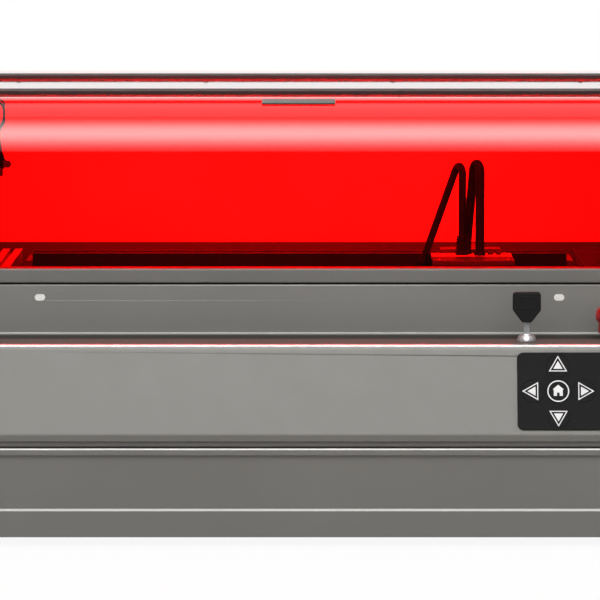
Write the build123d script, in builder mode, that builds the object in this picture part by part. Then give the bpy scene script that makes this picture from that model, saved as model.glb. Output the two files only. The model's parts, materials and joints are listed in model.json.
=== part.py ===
from build123d import *
import math
import os

# Desktop laser cutter: folded sheet-metal cabinet, hinged curved acrylic lid,
# pull-out bed drawer, belt-driven gantry and a laser module on a carriage.
# Millimetres, +Z up, front faces -Y, origin at the centre of the footprint on the floor.
# A name ending in _X, _Y or _Z that holds a pair gives a low and a high bound.

# ---------------------------------------------------------------- driving sizes
SHEET = 2.0             # folded sheet
PANEL_T = 2.5           # side and rear panels
LINER_T = 1.5           # chamber liner
ACRYLIC_T = 3.0
RUN = 0.05              # running clearance on a radius

SIDE_IN = 280.0         # inner face of the side panels
SIDE_OUT = SIDE_IN + PANEL_T
SCREW_R, SCREW_HEAD = 3.2, 1.0
FRONT_Y = -233.0        # drawer lip
BACK_Y = 233.0          # end of the exhaust collar
REAR_IN = 204.0         # inner face of the rear panel
REAR_OUT = REAR_IN + PANEL_T
FOOT_H = 6.0
LEDGE_Z = 120.5         # top of the control console
LIP_Y = -161.0          # upper front panel and lid front
PANEL_TOP_Z = 151.2     # top of the upper front panel
DECK_Z = (61.6, 63.2)

LID_RAIL_Z = (152.4, 161.6)
LID_TOP_Z = 265.0
LID_R = 34.6            # outside radius of the lid's front bend
LID_BACK = 196
LID_HALF_W = 278.5
WINDOW_HALF_W = 272
HINGE_Y, HINGE_Z = 201.0, 260.5
HINGE_X = (130, 190)    # each fixed leaf
HINGE_R, HINGE_PIN_R = 3, 2

WALL_X = 213.0          # inner wall of the cutting chamber
CHAMBER_FRONT, CHAMBER_BACK = -149, 182.0
CHAMBER_TOP = 253
CHAMBER_R = 22.6        # outside radius of the liner's front bend

FACE_LO = (-231.4, 68.5)    # console face, lower and upper ends (Y, Z)
FACE_HI = (-215.2, 117.6)
LOCK_X, LOCK_Y = 138.2, -195.0
LOCK_R = 5.0            # key lock barrel and its panel hole
PLUG_R = 3.0            # bore of the lock barrel
STOP_X, STOP_Y = 195.4, -188.0
STOP_R = 8.0            # stop button barrel and its panel hole
PLUNGER_R = 7.0         # bore of the stop button barrel
FAN_SPOT = (0, 190.0)   # exhaust fan axis (X, Z)
DUCT_R = 47
FAN_PIN_R = 2           # pin of both fans
INLET_SPOT = (-218, 44)     # power inlet (X, Z)
INLET_W, INLET_H = 56, 28

SHAFT_Y, SHAFT_Z = 160.0, 105.0
IDLER_Y = -140.0
SHAFT_R, PIN_R = 4, 2.5
PULLEY_R, FLANGE_R = 6.3, 8.4
BELT_R, BELT_T, BELT_W = 6.366, 1.4, 5.6    # inside radius, thickness, width
BELT_INSET = 0.2        # belt edge from the end of the pulley's barrel
PULLEY_X = (172, 178)   # pulleys of the Y belts
RAIL_X = (193.4, 207.0)
RAIL_Z = (119.0, 142.0)
RAIL_Y = (-150, 172)
BEAM_HALF_W = 182
BEAM_Y = (104.0, 132.0)
BEAM_Z = (117.0, 145.0)
CROSS_X, CROSS_Z = 165, 127.5   # axes of the cross belt's pulleys
CROSS_Y = (133, 139)    # pulleys of the cross belt

MOD_X, MOD_Y, MOD_W = 116.4, 70.0, 54.0     # laser module
MOD_LEFT, MOD_RIGHT = MOD_X - MOD_W / 2, MOD_X + MOD_W / 2
MOD_Z = (66.0, 146.0)
MOD_BACK = 96.8
MOD_FAN_Z = 116

os.makedirs("parts", exist_ok=True)


# ---------------------------------------------------------------- shape helpers
def slab(x0, x1, y0, y1, z0, z1, mode=Mode.ADD):
    """Rectangular plate between two corners."""
    with BuildSketch(Plane.XY.offset(z0)) as sketch:
        with Locations(((x0 + x1) / 2, (y0 + y1) / 2)):
            Rectangle(abs(x1 - x0), abs(y1 - y0))
    extrude(to_extrude=sketch.sketch, amount=z1 - z0, mode=mode)


def fold(points, x0, x1, rounds=()):
    """Side profile in Y and Z, run across X. rounds: (y, z, radius)."""
    with BuildSketch(Plane.YZ.offset(x0)) as sketch:
        with BuildLine():
            Polyline(*points, close=True)
        make_face()
        for y, z, radius in rounds:
            fillet(sketch.vertices().sort_by_distance((y, z, 0))[0], radius)
    extrude(to_extrude=sketch.sketch, amount=x1 - x0)


def plane_y(y):
    """Plane facing +Y whose local x is +X and local y is -Z."""
    return Plane(origin=(0, y, 0), x_dir=(1, 0, 0), z_dir=(0, 1, 0))


def discs(plane, spots, radius, height, mode=Mode.ADD):
    """Round bosses or holes standing on a plane."""
    with BuildSketch(plane) as sketch:
        with Locations(*spots):
            Circle(radius)
    extrude(to_extrude=sketch.sketch, amount=height, mode=mode)


def rods_x(spots, radius, x0, x1, mode=Mode.ADD):
    """spots are (Y, Z)."""
    discs(Plane.YZ.offset(x0), spots, radius, x1 - x0, mode)


def rods_y(spots, radius, y0, y1, mode=Mode.ADD):
    """spots are (X, Z)."""
    discs(plane_y(y0), [(x, -z) for x, z in spots], radius, y1 - y0, mode)


def rods_z(spots, radius, z0, z1, mode=Mode.ADD):
    """spots are (X, Y)."""
    discs(Plane.XY.offset(z0), spots, radius, z1 - z0, mode)


def slabs_y(spots, width, height, y0, y1, mode=Mode.ADD):
    """Plates at (X, Z) spots, from y0 to y1."""
    with BuildSketch(plane_y(y0)) as sketch:
        with Locations(*[(x, -z) for x, z in spots]):
            Rectangle(width, height)
    extrude(to_extrude=sketch.sketch, amount=y1 - y0, mode=mode)


def slots(plane, spots, length, width, depth, mode=Mode.SUBTRACT, grid=(1, 1, 1, 1), rotation=0):
    """Round-ended slots, one grid (x pitch, y pitch, columns, rows) centred on each local spot."""
    with BuildSketch(plane) as sketch:
        with Locations(*spots):
            with GridLocations(*grid):
                SlotOverall(length, width, rotation=rotation)
    extrude(to_extrude=sketch.sketch, amount=depth, mode=mode)


def hex_nut(x, y, radius):
    """Nut under the console ledge."""
    with BuildSketch(Plane.XY.offset(LEDGE_Z - 6)) as nut:
        with Locations((x, y)):
            RegularPolygon(radius, 6)
    extrude(to_extrude=nut.sketch, amount=4)


def fan_blades(hub, across, root, chord, thickness, twist, length):
    """Seven blades from radius root, turning in the plane of Z and the unit vector across."""
    for i in range(7):
        angle = 2 * math.pi * i / 7
        radial = across * math.cos(angle) + Vector(0, 0, 1) * math.sin(angle)
        tangent = Vector(0, 0, 1) * math.cos(angle) - across * math.sin(angle)
        with BuildSketch(Plane(origin=hub + radial * root, x_dir=tangent, z_dir=radial)) as blade:
            Rectangle(chord, thickness, rotation=twist)
        extrude(to_extrude=blade.sketch, amount=length)


def belt(plane, centre, pitch):
    """Closed belt round two pulleys a pitch apart along the plane's local x."""
    with BuildSketch(plane) as loop:
        with Locations(centre):
            SlotCenterToCenter(pitch, 2 * (BELT_R + BELT_T))
            SlotCenterToCenter(pitch, 2 * BELT_R, mode=Mode.SUBTRACT)
    extrude(to_extrude=loop.sketch, amount=BELT_W)


def span(side, inner, outer):
    """Low and high X of a pair of distances from the centre, on side -1 (left) or 1 (right)."""
    return sorted((side * inner, side * outer))


def y_pulley(side, y):
    """Flanged pulley of a Y belt."""
    inner, outer = PULLEY_X
    for near, far, radius in ((inner, outer, PULLEY_R), (inner - 1, inner, FLANGE_R),
                              (outer, outer + 1, FLANGE_R)):
        rods_x([(y, SHAFT_Z)], radius, *span(side, near, far))


def lid_bend(x0, x1, outer, inner):
    """Length of lid skin, between two depths below the lid's outside."""
    front_out, front_in = LIP_Y + outer, LIP_Y + inner
    top_out, top_in = LID_TOP_Z - outer, LID_TOP_Z - inner
    fold([(front_out, LID_RAIL_Z[1]), (front_out, top_out), (LID_BACK, top_out),
          (LID_BACK, top_in), (front_in, top_in), (front_in, LID_RAIL_Z[1])], x0, x1,
         [(front_out, top_out, LID_R - outer), (front_in, top_in, LID_R - inner)])


def save(builder, name):
    builder.part.label = name
    export_step(builder.part, f"parts/{name}.step")


# ---------------------------------------------------------------- cabinet shell
PAN_Y = (-219, REAR_IN)
with BuildPart() as base_pan:
    slab(-SIDE_IN, SIDE_IN, *PAN_Y, FOOT_H, FOOT_H + SHEET)
    for side in (-1, 1):
        slab(*span(side, SIDE_IN - SHEET, SIDE_IN), *PAN_Y, FOOT_H + SHEET, 42)
    slots(Plane.XY.offset(FOOT_H), [(0, 0)], 30, 5, SHEET, grid=(46, 1, 9, 1))
save(base_pan, "base_pan")

SIDE_PROFILE = [    # (Y, Z)
    (-231.5, FOOT_H), (-231.5, 67.5), (-215.0, 118.1), (-211.5, 121.0), (-162.0, 121.0),
    (-162.0, 266.0), (REAR_OUT, 266.0), (REAR_OUT, FOOT_H)]
SIDE_ROUNDS = [     # (Y, Z, radius)
    (-231.5, 67.5, 6), (-215.0, 118.1, 3), (-162.0, 121.0, 3), (-162.0, 266.0, LID_R + 1),
    (REAR_OUT, 266.0, 4), (REAR_OUT, FOOT_H, 4)]
for name, x0 in (("left_side_panel", -SIDE_OUT), ("right_side_panel", SIDE_IN)):
    with BuildPart() as side_panel:
        fold(SIDE_PROFILE, x0, x0 + PANEL_T, SIDE_ROUNDS)
        slots(Plane.YZ.offset(x0), [(135, 105)], 64, 4, PANEL_T, grid=(1, 11, 1, 7))
        outer_face = side_panel.faces().sort_by(Axis.X)[0 if x0 < 0 else -1]
        chamfer(outer_face.outer_wire().edges(), 0.7)
    save(side_panel, name)

with BuildPart() as rear_panel:
    slab(-SIDE_IN, SIDE_IN, REAR_IN, REAR_OUT, FOOT_H + SHEET, 263.8)
    rods_y([FAN_SPOT], DUCT_R, REAR_IN, REAR_OUT, Mode.SUBTRACT)
    slabs_y([INLET_SPOT], INLET_W, INLET_H, REAR_IN, REAR_OUT, Mode.SUBTRACT)
    slots(plane_y(REAR_IN), [(-200, -165), (200, -165)], 70, 4, PANEL_T, grid=(1, 10, 1, 8))
save(rear_panel, "rear_panel")

with BuildPart() as deck_frame:
    slab(-SIDE_IN, SIDE_IN, -225, REAR_IN, *DECK_Z)
    slab(-205, 205, *RAIL_Y, *DECK_Z, Mode.SUBTRACT)
save(deck_frame, "deck_frame")

# Plane of the leaning console face: local x is +X, local y runs up the slope.
face = Plane(origin=(0, (FACE_LO[0] + FACE_HI[0]) / 2, (FACE_LO[1] + FACE_HI[1]) / 2),
             x_dir=(1, 0, 0),
             z_dir=(0, -(FACE_HI[1] - FACE_LO[1]), FACE_HI[0] - FACE_LO[0]))
face_axis = Axis((0, 0, 0), tuple(face.z_dir))
ARROWS_X, KEY_PITCH, ARROW_R = 155.8, 15.3, 6.9
KEYS = {    # name: (x, y, radius) on the face plane
    "key_up": (ARROWS_X, KEY_PITCH, ARROW_R),
    "key_down": (ARROWS_X, -KEY_PITCH, ARROW_R),
    "key_left": (ARROWS_X - KEY_PITCH, 0, ARROW_R),
    "key_right": (ARROWS_X + KEY_PITCH, 0, ARROW_R),
    "key_home": (ARROWS_X, 0, 7.4),
    "key_start": (196.2, 0, 9.0),
}

# Console: lower flange, leaning face, top ledge, folded from one sheet.
CONSOLE_PROFILE = [     # (Y, Z), outside upwards and then inside downwards
    (-229.5, 60.4), (-229.5, 62.9), (-231.4, 63.9), (-231.66, 67.7), (-214.24, LEDGE_Z),
    (LIP_Y, LEDGE_Z),
    (LIP_Y, LEDGE_Z - SHEET), (-212.8, LEDGE_Z - SHEET), (-229.6, 67.4), (-229.4, 65.4),
    (-227.5, 64.2), (-227.5, 60.4)]
with BuildPart() as front_console:
    fold(CONSOLE_PROFILE, -SIDE_IN, SIDE_IN,
         [(-214.24, LEDGE_Z, 4.5), (-212.8, LEDGE_Z - SHEET, 2.5), (-231.66, 67.7, 3.0)])
    for spot, radius in (((LOCK_X, LOCK_Y), LOCK_R), ((STOP_X, STOP_Y), STOP_R)):
        rods_z([spot], radius, LEDGE_Z, LEDGE_Z - SHEET - 1, Mode.SUBTRACT)
    for x, y, radius in KEYS.values():
        discs(face.offset(1), [(x, y)], radius + 0.2, -5, Mode.SUBTRACT)
save(front_console, "front_console")

SENSOR_SPOTS = [(-160.0, -143.4), (160.0, -143.4)]      # (X, -Z)
with BuildPart() as upper_front_panel:
    fold([(LIP_Y, DECK_Z[1]), (LIP_Y, LEDGE_Z),
          (LIP_Y - 4.4, LEDGE_Z), (LIP_Y - 4.4, LEDGE_Z + 0.3),
          (LIP_Y - 1.2, LEDGE_Z + 0.5), (LIP_Y, LEDGE_Z + 1.2),
          (LIP_Y, PANEL_TOP_Z), (-151, PANEL_TOP_Z), (-151, PANEL_TOP_Z - SHEET),
          (LIP_Y + SHEET, PANEL_TOP_Z - SHEET), (LIP_Y + SHEET, DECK_Z[1])],
         -SIDE_IN, SIDE_IN, [(LIP_Y, PANEL_TOP_Z, 0.8)])
    slots(plane_y(LIP_Y), SENSOR_SPOTS, 6.5, 4.1, SHEET)
save(upper_front_panel, "upper_front_panel")

with BuildPart() as sensor_windows:
    slots(plane_y(LIP_Y - 0.3), SENSOR_SPOTS, 6.4, 4.0, SHEET + 0.3, Mode.ADD)
save(sensor_windows, "sensor_windows")

# Upright chamber walls, and the bent band that closes the bay outside each one.
WALL_PROFILE = [(CHAMBER_FRONT, DECK_Z[1]), (CHAMBER_FRONT, CHAMBER_TOP),
                (CHAMBER_BACK, CHAMBER_TOP), (CHAMBER_BACK, DECK_Z[1])]
LINER_FRONT, LINER_TOP = CHAMBER_FRONT + LINER_T, CHAMBER_TOP - LINER_T     # inner faces
BAND_PROFILE = WALL_PROFILE[:3] + [(CHAMBER_BACK, LINER_TOP), (LINER_FRONT, LINER_TOP),
                                   (LINER_FRONT, DECK_Z[1])]
wall_round = (CHAMBER_FRONT, CHAMBER_TOP, CHAMBER_R)
with BuildPart() as inner_walls:
    for side in (1, -1):
        fold(WALL_PROFILE, *span(side, WALL_X, WALL_X + LINER_T), [wall_round])
    for side in (1, -1):
        fold(BAND_PROFILE, *span(side, WALL_X + LINER_T, SIDE_IN),
             [wall_round, (LINER_FRONT, LINER_TOP, CHAMBER_R - LINER_T)])
save(inner_walls, "inner_walls")

with BuildPart() as rear_inner_panel:
    fold([(CHAMBER_BACK, DECK_Z[1]), (CHAMBER_BACK, CHAMBER_TOP), (REAR_IN, CHAMBER_TOP),
          (REAR_IN, LINER_TOP), (CHAMBER_BACK + LINER_T, LINER_TOP),
          (CHAMBER_BACK + LINER_T, DECK_Z[1])], -SIDE_IN, SIDE_IN)
    slots(plane_y(CHAMBER_BACK), [(-110, -80), (110, -80)], 20, 4, LINER_T,
          grid=(24, 1, 7, 1), rotation=90)
save(rear_inner_panel, "rear_inner_panel")

with BuildPart() as rubber_feet:
    rods_z([(-240, -195), (240, -195), (-240, 180), (240, 180)], 13, 0, FOOT_H)
    chamfer(rubber_feet.edges().filter_by(GeomType.CIRCLE).group_by(Axis.Z)[0], 1.5)
save(rubber_feet, "rubber_feet")

SIDE_SCREWS = [     # (Y, Z)
    (-218, 30), (-120, 30), (40, 30), (190, 30), (190, 140), (190, 245), (-120, 200),
    (40, 245), (-190, 105)]
with BuildPart() as panel_screws:
    for side in (1, -1):
        rods_x(SIDE_SCREWS, SCREW_R, *span(side, SIDE_OUT, SIDE_OUT + SCREW_HEAD))
    rods_y([(side * 265, z) for side in (-1, 1) for z in (22, 140, 252)], SCREW_R,
           REAR_OUT, REAR_OUT + SCREW_HEAD)
save(panel_screws, "panel_screws")

# ---------------------------------------------------------------- rear services
with BuildPart() as exhaust_collar:
    rods_y([FAN_SPOT], DUCT_R + 3, REAR_OUT, BACK_Y)
    rods_y([FAN_SPOT], 58, REAR_OUT, REAR_OUT + 2.5)
    rods_y([FAN_SPOT], DUCT_R, REAR_OUT, BACK_Y, Mode.SUBTRACT)
save(exhaust_collar, "exhaust_collar")

FAN_HUB_R = 18
SPIDER_Y = 201.5        # front of the cross that carries the rotor pin
with BuildPart() as exhaust_fan_frame:
    slabs_y([FAN_SPOT], 92, 92, 189, REAR_IN)
    fillet(exhaust_fan_frame.edges().filter_by(Axis.Y), 4)
    rods_y([FAN_SPOT], 43.5, 189, REAR_IN, Mode.SUBTRACT)
    rods_y([FAN_SPOT], FAN_HUB_R, SPIDER_Y, REAR_IN)
    slabs_y([FAN_SPOT], 4, 90, SPIDER_Y, REAR_IN)
    slabs_y([FAN_SPOT], 90, 4, SPIDER_Y, REAR_IN)
    rods_y([FAN_SPOT], FAN_PIN_R, 192, SPIDER_Y)
save(exhaust_fan_frame, "exhaust_fan_frame")

ROTOR_Y = (190, 201)
with BuildPart() as exhaust_fan_rotor:
    rods_y([FAN_SPOT], FAN_HUB_R, *ROTOR_Y)
    fan_blades(Vector(FAN_SPOT[0], sum(ROTOR_Y) / 2, FAN_SPOT[1]), Vector(1, 0, 0),
               root=FAN_HUB_R - 2, chord=14, thickness=1.4, twist=38, length=26)
    rods_y([FAN_SPOT], FAN_PIN_R + RUN, *ROTOR_Y, Mode.SUBTRACT)
save(exhaust_fan_rotor, "exhaust_fan_rotor")

# Inlet block: a socket with three pins on the left, a rocker opening on the right.
INLET_Z = INLET_SPOT[1]
SOCKET_X, ROCKER_X = -232, -204
ROCKER_PIVOT, ROCKER_PIN_R = (203, INLET_Z), 1.5    # pivot is (Y, Z)
with BuildPart() as power_inlet:
    slabs_y([INLET_SPOT], INLET_W + 6, INLET_H + 6, REAR_OUT, REAR_OUT + 2)
    slabs_y([INLET_SPOT], INLET_W, INLET_H, 186, REAR_OUT)
    slabs_y([(SOCKET_X, INLET_Z)], 24, 18, 190, REAR_OUT + 2, Mode.SUBTRACT)
    slabs_y([(ROCKER_X, INLET_Z)], 20, 22.6, 196, REAR_OUT + 2, Mode.SUBTRACT)
    slabs_y([(SOCKET_X - 5, INLET_Z), (SOCKET_X, INLET_Z + 3), (SOCKET_X + 5, INLET_Z)],
            1.6, 5, 190, 202)
    rods_x([ROCKER_PIVOT], ROCKER_PIN_R + RUN, ROCKER_X - 11, ROCKER_X + 11, Mode.SUBTRACT)
save(power_inlet, "power_inlet")

with BuildPart() as power_rocker:
    fold([(199, 39), (208, 34.4), (206.4, INLET_Z), (208, 53.6), (199, 49)],
         ROCKER_X - 9.7, ROCKER_X + 9.7)
    rods_x([ROCKER_PIVOT], ROCKER_PIN_R, ROCKER_X - 10.8, ROCKER_X + 10.8)
save(power_rocker, "power_rocker")

with BuildPart() as air_pump:
    rods_y([(-246, 98)], 20, 20, 110)
    rods_y([(-246, 98)], 6, 110, 122)
    slab(-262, -230, 30, 100, DECK_Z[1], 92)
save(air_pump, "air_pump")

BOARD_Z = (69, 70.6)
with BuildPart() as control_board:
    slab(-60, 80, -212, -168, *BOARD_Z)
    rods_z([(-56, -208), (76, -208), (-56, -172), (76, -172)], 3, DECK_Z[1], BOARD_Z[0])
    slab(-20, 0, -200, -180, BOARD_Z[1], 73)
    slab(20, 30, -195, -185, BOARD_Z[1], 72.4)
    slab(-52, 68, -176, -170, BOARD_Z[1], 79)
    rods_z([(48, -200), (60, -200)], 5, BOARD_Z[1], BOARD_Z[1] + 14)
save(control_board, "control_board")

LED_Y = LIP_Y + SHEET + 1.4     # back of the strip, where the 16 LEDs stand
with BuildPart() as led_strip:
    slab(-190, 190, LIP_Y + SHEET, LED_Y, 128, 136)
    slabs_y([(-180 + 24 * i, 132) for i in range(16)], 5, 5, LED_Y, LED_Y + 1)
save(led_strip, "led_strip")

# ---------------------------------------------------------------- keypad, key lock, stop button
BEZEL_T = 1.2
with BuildPart() as keypad_bezel:
    with BuildSketch(face) as pad:
        with Locations((173.0, 0)):
            RectangleRounded(83.6, 47.6, 3.8)
        for x, y, radius in KEYS.values():
            with Locations((x, y)):
                Circle(radius + 0.12, mode=Mode.SUBTRACT)
    extrude(to_extrude=pad.sketch, amount=BEZEL_T)
    chamfer(keypad_bezel.faces().sort_by(face_axis)[-1].outer_wire().edges(), 0.3)
save(keypad_bezel, "keypad_bezel")

KEY_DEPTH = 2.0         # caps start this far below the face plane
for name, (x, y, radius) in KEYS.items():
    with BuildPart() as key_cap:
        discs(face.offset(-KEY_DEPTH), [(x, y)], radius, KEY_DEPTH + BEZEL_T + 0.05)
        chamfer(key_cap.edges().filter_by(GeomType.CIRCLE).sort_by(face_axis)[-1], 0.15)
    save(key_cap, name)

with BuildPart() as key_lock_body:
    rods_z([(LOCK_X, LOCK_Y)], LOCK_R, 104, LEDGE_Z)
    rods_z([(LOCK_X, LOCK_Y)], LOCK_R + 0.8, LEDGE_Z, LEDGE_Z + 3.9)
    chamfer(key_lock_body.edges().filter_by(GeomType.CIRCLE).group_by(Axis.Z)[-1], 1.8)
    hex_nut(LOCK_X, LOCK_Y, 7.5)
    rods_z([(LOCK_X, LOCK_Y)], PLUG_R, 110, 125, Mode.SUBTRACT)
save(key_lock_body, "key_lock_body")

# Key: round plug in the lock, flat blade and a broad bow.
BOW_OUTLINE = [     # (X from the lock axis, -Z)
    (-2.9, -132.0), (-8.5, -139.3), (-8.5, -150.3), (8.5, -150.3), (8.5, -139.3), (2.9, -132.0)]
BOW_T = 5.5
with BuildPart() as key:
    rods_z([(LOCK_X, LOCK_Y)], PLUG_R - RUN, 110.2, 124.4)
    slab(LOCK_X - 1.95, LOCK_X + 1.95, LOCK_Y - 0.9, LOCK_Y + 0.9, 124, 132.0)
    with BuildSketch(plane_y(LOCK_Y - BOW_T / 2)) as bow:
        with BuildLine():
            Polyline(*[(LOCK_X + x, y) for x, y in BOW_OUTLINE], close=True)
        make_face()
        fillet(bow.vertices().group_by(Axis.Y)[0], 1.8)
    extrude(to_extrude=bow.sketch, amount=BOW_T)
save(key, "key")

with BuildPart() as estop_body:
    rods_z([(STOP_X, STOP_Y)], STOP_R, 98, LEDGE_Z)
    rods_z([(STOP_X, STOP_Y)], 11.5, LEDGE_Z, LEDGE_Z + 1.2)
    hex_nut(STOP_X, STOP_Y, 12)
    rods_z([(STOP_X, STOP_Y)], PLUNGER_R, 102, 126, Mode.SUBTRACT)
save(estop_body, "estop_body")

PLUNGER_TOP = 131
with BuildPart() as estop_plunger:
    rods_z([(STOP_X, STOP_Y)], PLUNGER_R - RUN, 108, PLUNGER_TOP)
save(estop_plunger, "estop_plunger")

CAP_PROFILE = [     # (radius, Z)
    (PLUNGER_R, 126.2), (12.0, 126.2), (12.0, 124.8), (13.4, 124.8), (13.4, 131.2),
    (14.8, 132.6), (15.2, 134.6), (14.6, 138.4), (11.5, 140.8), (6, 141.7), (0, 141.8),
    (0, PLUNGER_TOP), (PLUNGER_R, PLUNGER_TOP)]
with BuildPart() as estop_cap:
    with BuildSketch(Plane(origin=(STOP_X, STOP_Y, 0), x_dir=(1, 0, 0), z_dir=(0, -1, 0))) as half:
        with BuildLine():
            Polyline(*CAP_PROFILE, close=True)
        make_face()
    revolve(half.sketch, axis=Axis((STOP_X, STOP_Y, 0), (0, 0, 1)))
save(estop_cap, "estop_cap")

# ---------------------------------------------------------------- hinges and lid
hinge_axis = [(HINGE_Y, HINGE_Z)]
LEAF_Y = (202.5, REAR_IN)
with BuildPart() as hinge_fixed_leaves:
    for side in (-1, 1):
        slab(*span(side, *HINGE_X), *LEAF_Y, 253.2, 255)
        # a knuckle at each end, with the lid's knuckle between them
        for near, far in ((HINGE_X[0], 149.8), (170.2, HINGE_X[1])):
            slab(*span(side, near, far), *LEAF_Y, 255, HINGE_Z)
            rods_x(hinge_axis, HINGE_R, *span(side, near, far))
        rods_x(hinge_axis, HINGE_PIN_R, *span(side, *HINGE_X))
save(hinge_fixed_leaves, "hinge_fixed_leaves")

with BuildPart() as lid_window:
    lid_bend(-WINDOW_HALF_W, WINDOW_HALF_W, 0, ACRYLIC_T)
save(lid_window, "lid_window")

# Full-depth strip beside the acrylic, and a flange that laps its underside.
FRAME_T = 5
with BuildPart() as lid_side_frames:
    for side in (-1, 1):
        lid_bend(*span(side, WINDOW_HALF_W, LID_HALF_W), 0, FRAME_T)
        lid_bend(*span(side, WINDOW_HALF_W - 9, WINDOW_HALF_W), ACRYLIC_T, FRAME_T)
save(lid_side_frames, "lid_side_frames")

with BuildPart() as lid_front_rail:
    z0, z1 = LID_RAIL_Z
    fold([(LIP_Y, z0 + 0.5), (LIP_Y, z1 - 1.0), (LIP_Y + 1.0, z1), (-152, z1),
          (-152, z1 - SHEET), (LIP_Y + SHEET, z1 - SHEET), (LIP_Y + SHEET, z0 + SHEET),
          (-154, z0 + SHEET), (-154, z0), (LIP_Y + 0.5, z0)], -LID_HALF_W, LID_HALF_W)
save(lid_front_rail, "lid_front_rail")

BAR_HALF_W = 262        # rear rail and cross strips
with BuildPart() as lid_rear_rail:
    slab(-BAR_HALF_W, BAR_HALF_W, 183, 195, LID_TOP_Z - ACRYLIC_T - 4, LID_TOP_Z - ACRYLIC_T)
    for side in (-1, 1):
        knuckle = span(side, 150.2, 169.8)
        slab(*knuckle, 193, HINGE_Y, 258.5, 262)
        rods_x(hinge_axis, HINGE_R, *knuckle)
        rods_x(hinge_axis, HINGE_PIN_R + RUN, *knuckle, Mode.SUBTRACT)
save(lid_rear_rail, "lid_rear_rail")

STRIPS_Y = ((-102.0, -74.0), (85.0, 112.0))
STRIP_TOP = LID_TOP_Z + 2.4
with BuildPart() as lid_cross_strips:
    for strip_y in STRIPS_Y:
        slab(-BAR_HALF_W, BAR_HALF_W, *strip_y, LID_TOP_Z, STRIP_TOP)
    chamfer(lid_cross_strips.edges().group_by(Axis.Z)[-1], 0.3)
save(lid_cross_strips, "lid_cross_strips")

with BuildPart() as lid_strip_screws:
    rods_z([(x, front + 2.6) for front, _ in STRIPS_Y for x in (-189.4, -63.1, 63.1, 189.4)],
           1.6, STRIP_TOP, STRIP_TOP + 0.6)
save(lid_strip_screws, "lid_strip_screws")

# Finger strip bonded round part of the lid's front bend.
with BuildPart() as lid_pull_tab:
    bend_centre = (LIP_Y + LID_R, LID_TOP_Z - LID_R)
    with BuildSketch(Plane.YZ.offset(-23.3)) as strip:
        with BuildLine():
            top = CenterArc(bend_centre, LID_R + 1.0, 107, 10.5)
            under = CenterArc(bend_centre, LID_R + 0.02, 107, 10.5)
            Line(top @ 0, under @ 0)
            Line(top @ 1, under @ 1)
        make_face()
    extrude(to_extrude=strip.sketch, amount=45.4)
save(lid_pull_tab, "lid_pull_tab")

# ---------------------------------------------------------------- drawer with the work bed
DRAWER_PROFILE = [      # (Y, Z), outside upwards and then inside downwards
    (FRONT_Y, 5.8), (FRONT_Y, 21.7), (-231, 22.5), (-230.5, 22.7), (-230.5, 55.4),
    (-232.6, 55.6), (-232.6, 58.8), (-231.8, 59.6), (-222, 59.6),
    (-222, 57.6), (-228.5, 57.6), (-228.5, 21.4), (-231, 20.2), (-231, 7.8),
    (-221, 7.8), (-221, 5.8)]
with BuildPart() as drawer_front:
    fold(DRAWER_PROFILE, -279.2, 279.2)
save(drawer_front, "drawer_front")

TRAY_HALF_W, TRAY_Y, TRAY_Z, TRAY_T = 266, (-228.5, 174), (10, 54), 1.5
TRAY_IN = TRAY_HALF_W - TRAY_T
TRAY_IN_Y = (TRAY_Y[0] + TRAY_T, TRAY_Y[1] - TRAY_T)
BED_Z = (30, 44)
with BuildPart() as drawer_tray:
    slab(-TRAY_HALF_W, TRAY_HALF_W, *TRAY_Y, *TRAY_Z)
    slab(-TRAY_IN, TRAY_IN, *TRAY_IN_Y, TRAY_Z[0] + TRAY_T, TRAY_Z[1], Mode.SUBTRACT)
    for side in (-1, 1):
        # bed ledge inside, slide bar outside
        slab(*span(side, 252, TRAY_IN), *TRAY_IN_Y, BED_Z[0] - TRAY_T, BED_Z[0])
        slab(*span(side, TRAY_HALF_W, 274.5), -215, 170, 18, 22)
save(drawer_tray, "drawer_tray")

with BuildPart() as drawer_runners:
    for side in (-1, 1):
        slab(*span(side, 271.5, 278), -215, 185, 14, 26)
        slab(*span(side, 271.5, 275.2), -215, 185, 17.4, 22.6, Mode.SUBTRACT)
save(drawer_runners, "drawer_runners")

with BuildPart() as honeycomb_bed:
    slab(-262, 262, -222, 168, *BED_Z)
    slab(-250, 250, -210, 156, *BED_Z, Mode.SUBTRACT)
    with BuildSketch(Plane.XY.offset(BED_Z[0])) as slats:
        with Locations((0, -27)):
            with GridLocations(1, 18, 1, 20):
                Rectangle(500, 1.2)
    extrude(to_extrude=slats.sketch, amount=BED_Z[1] - BED_Z[0])
save(honeycomb_bed, "honeycomb_bed")

# ---------------------------------------------------------------- Y axis
BLOCK_X, BLOCK_BOTTOM = (180, WALL_X), 95
with BuildPart() as bearing_blocks:
    for side in (-1, 1):
        block_x = span(side, *BLOCK_X)
        slab(*block_x, SHAFT_Y - 10, SHAFT_Y + 10, BLOCK_BOTTOM, RAIL_Z[0])
        rods_x([(SHAFT_Y, SHAFT_Z)], SHAFT_R + RUN, *block_x, Mode.SUBTRACT)
        slab(*block_x, IDLER_Y - 10, IDLER_Y + 10, BLOCK_BOTTOM, RAIL_Z[0])
        rods_x([(IDLER_Y, SHAFT_Z)], PIN_R, *span(side, 170.5, BLOCK_X[0]))
save(bearing_blocks, "bearing_blocks")

with BuildPart() as y_rails:
    for side in (-1, 1):
        x0, x1 = span(side, *RAIL_X)
        middle = (x0 + x1) / 2
        slab(x0, x1, *RAIL_Y, *RAIL_Z)
        # grooves in the top and in both flanks
        slab(middle - 1.7, middle + 1.7, *RAIL_Y, RAIL_Z[1] - 4, RAIL_Z[1], Mode.SUBTRACT)
        slab(x0, x0 + 2, *RAIL_Y, 126, 132, Mode.SUBTRACT)
        slab(x1 - 2, x1, *RAIL_Y, 126, 132, Mode.SUBTRACT)
save(y_rails, "y_rails")

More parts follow.
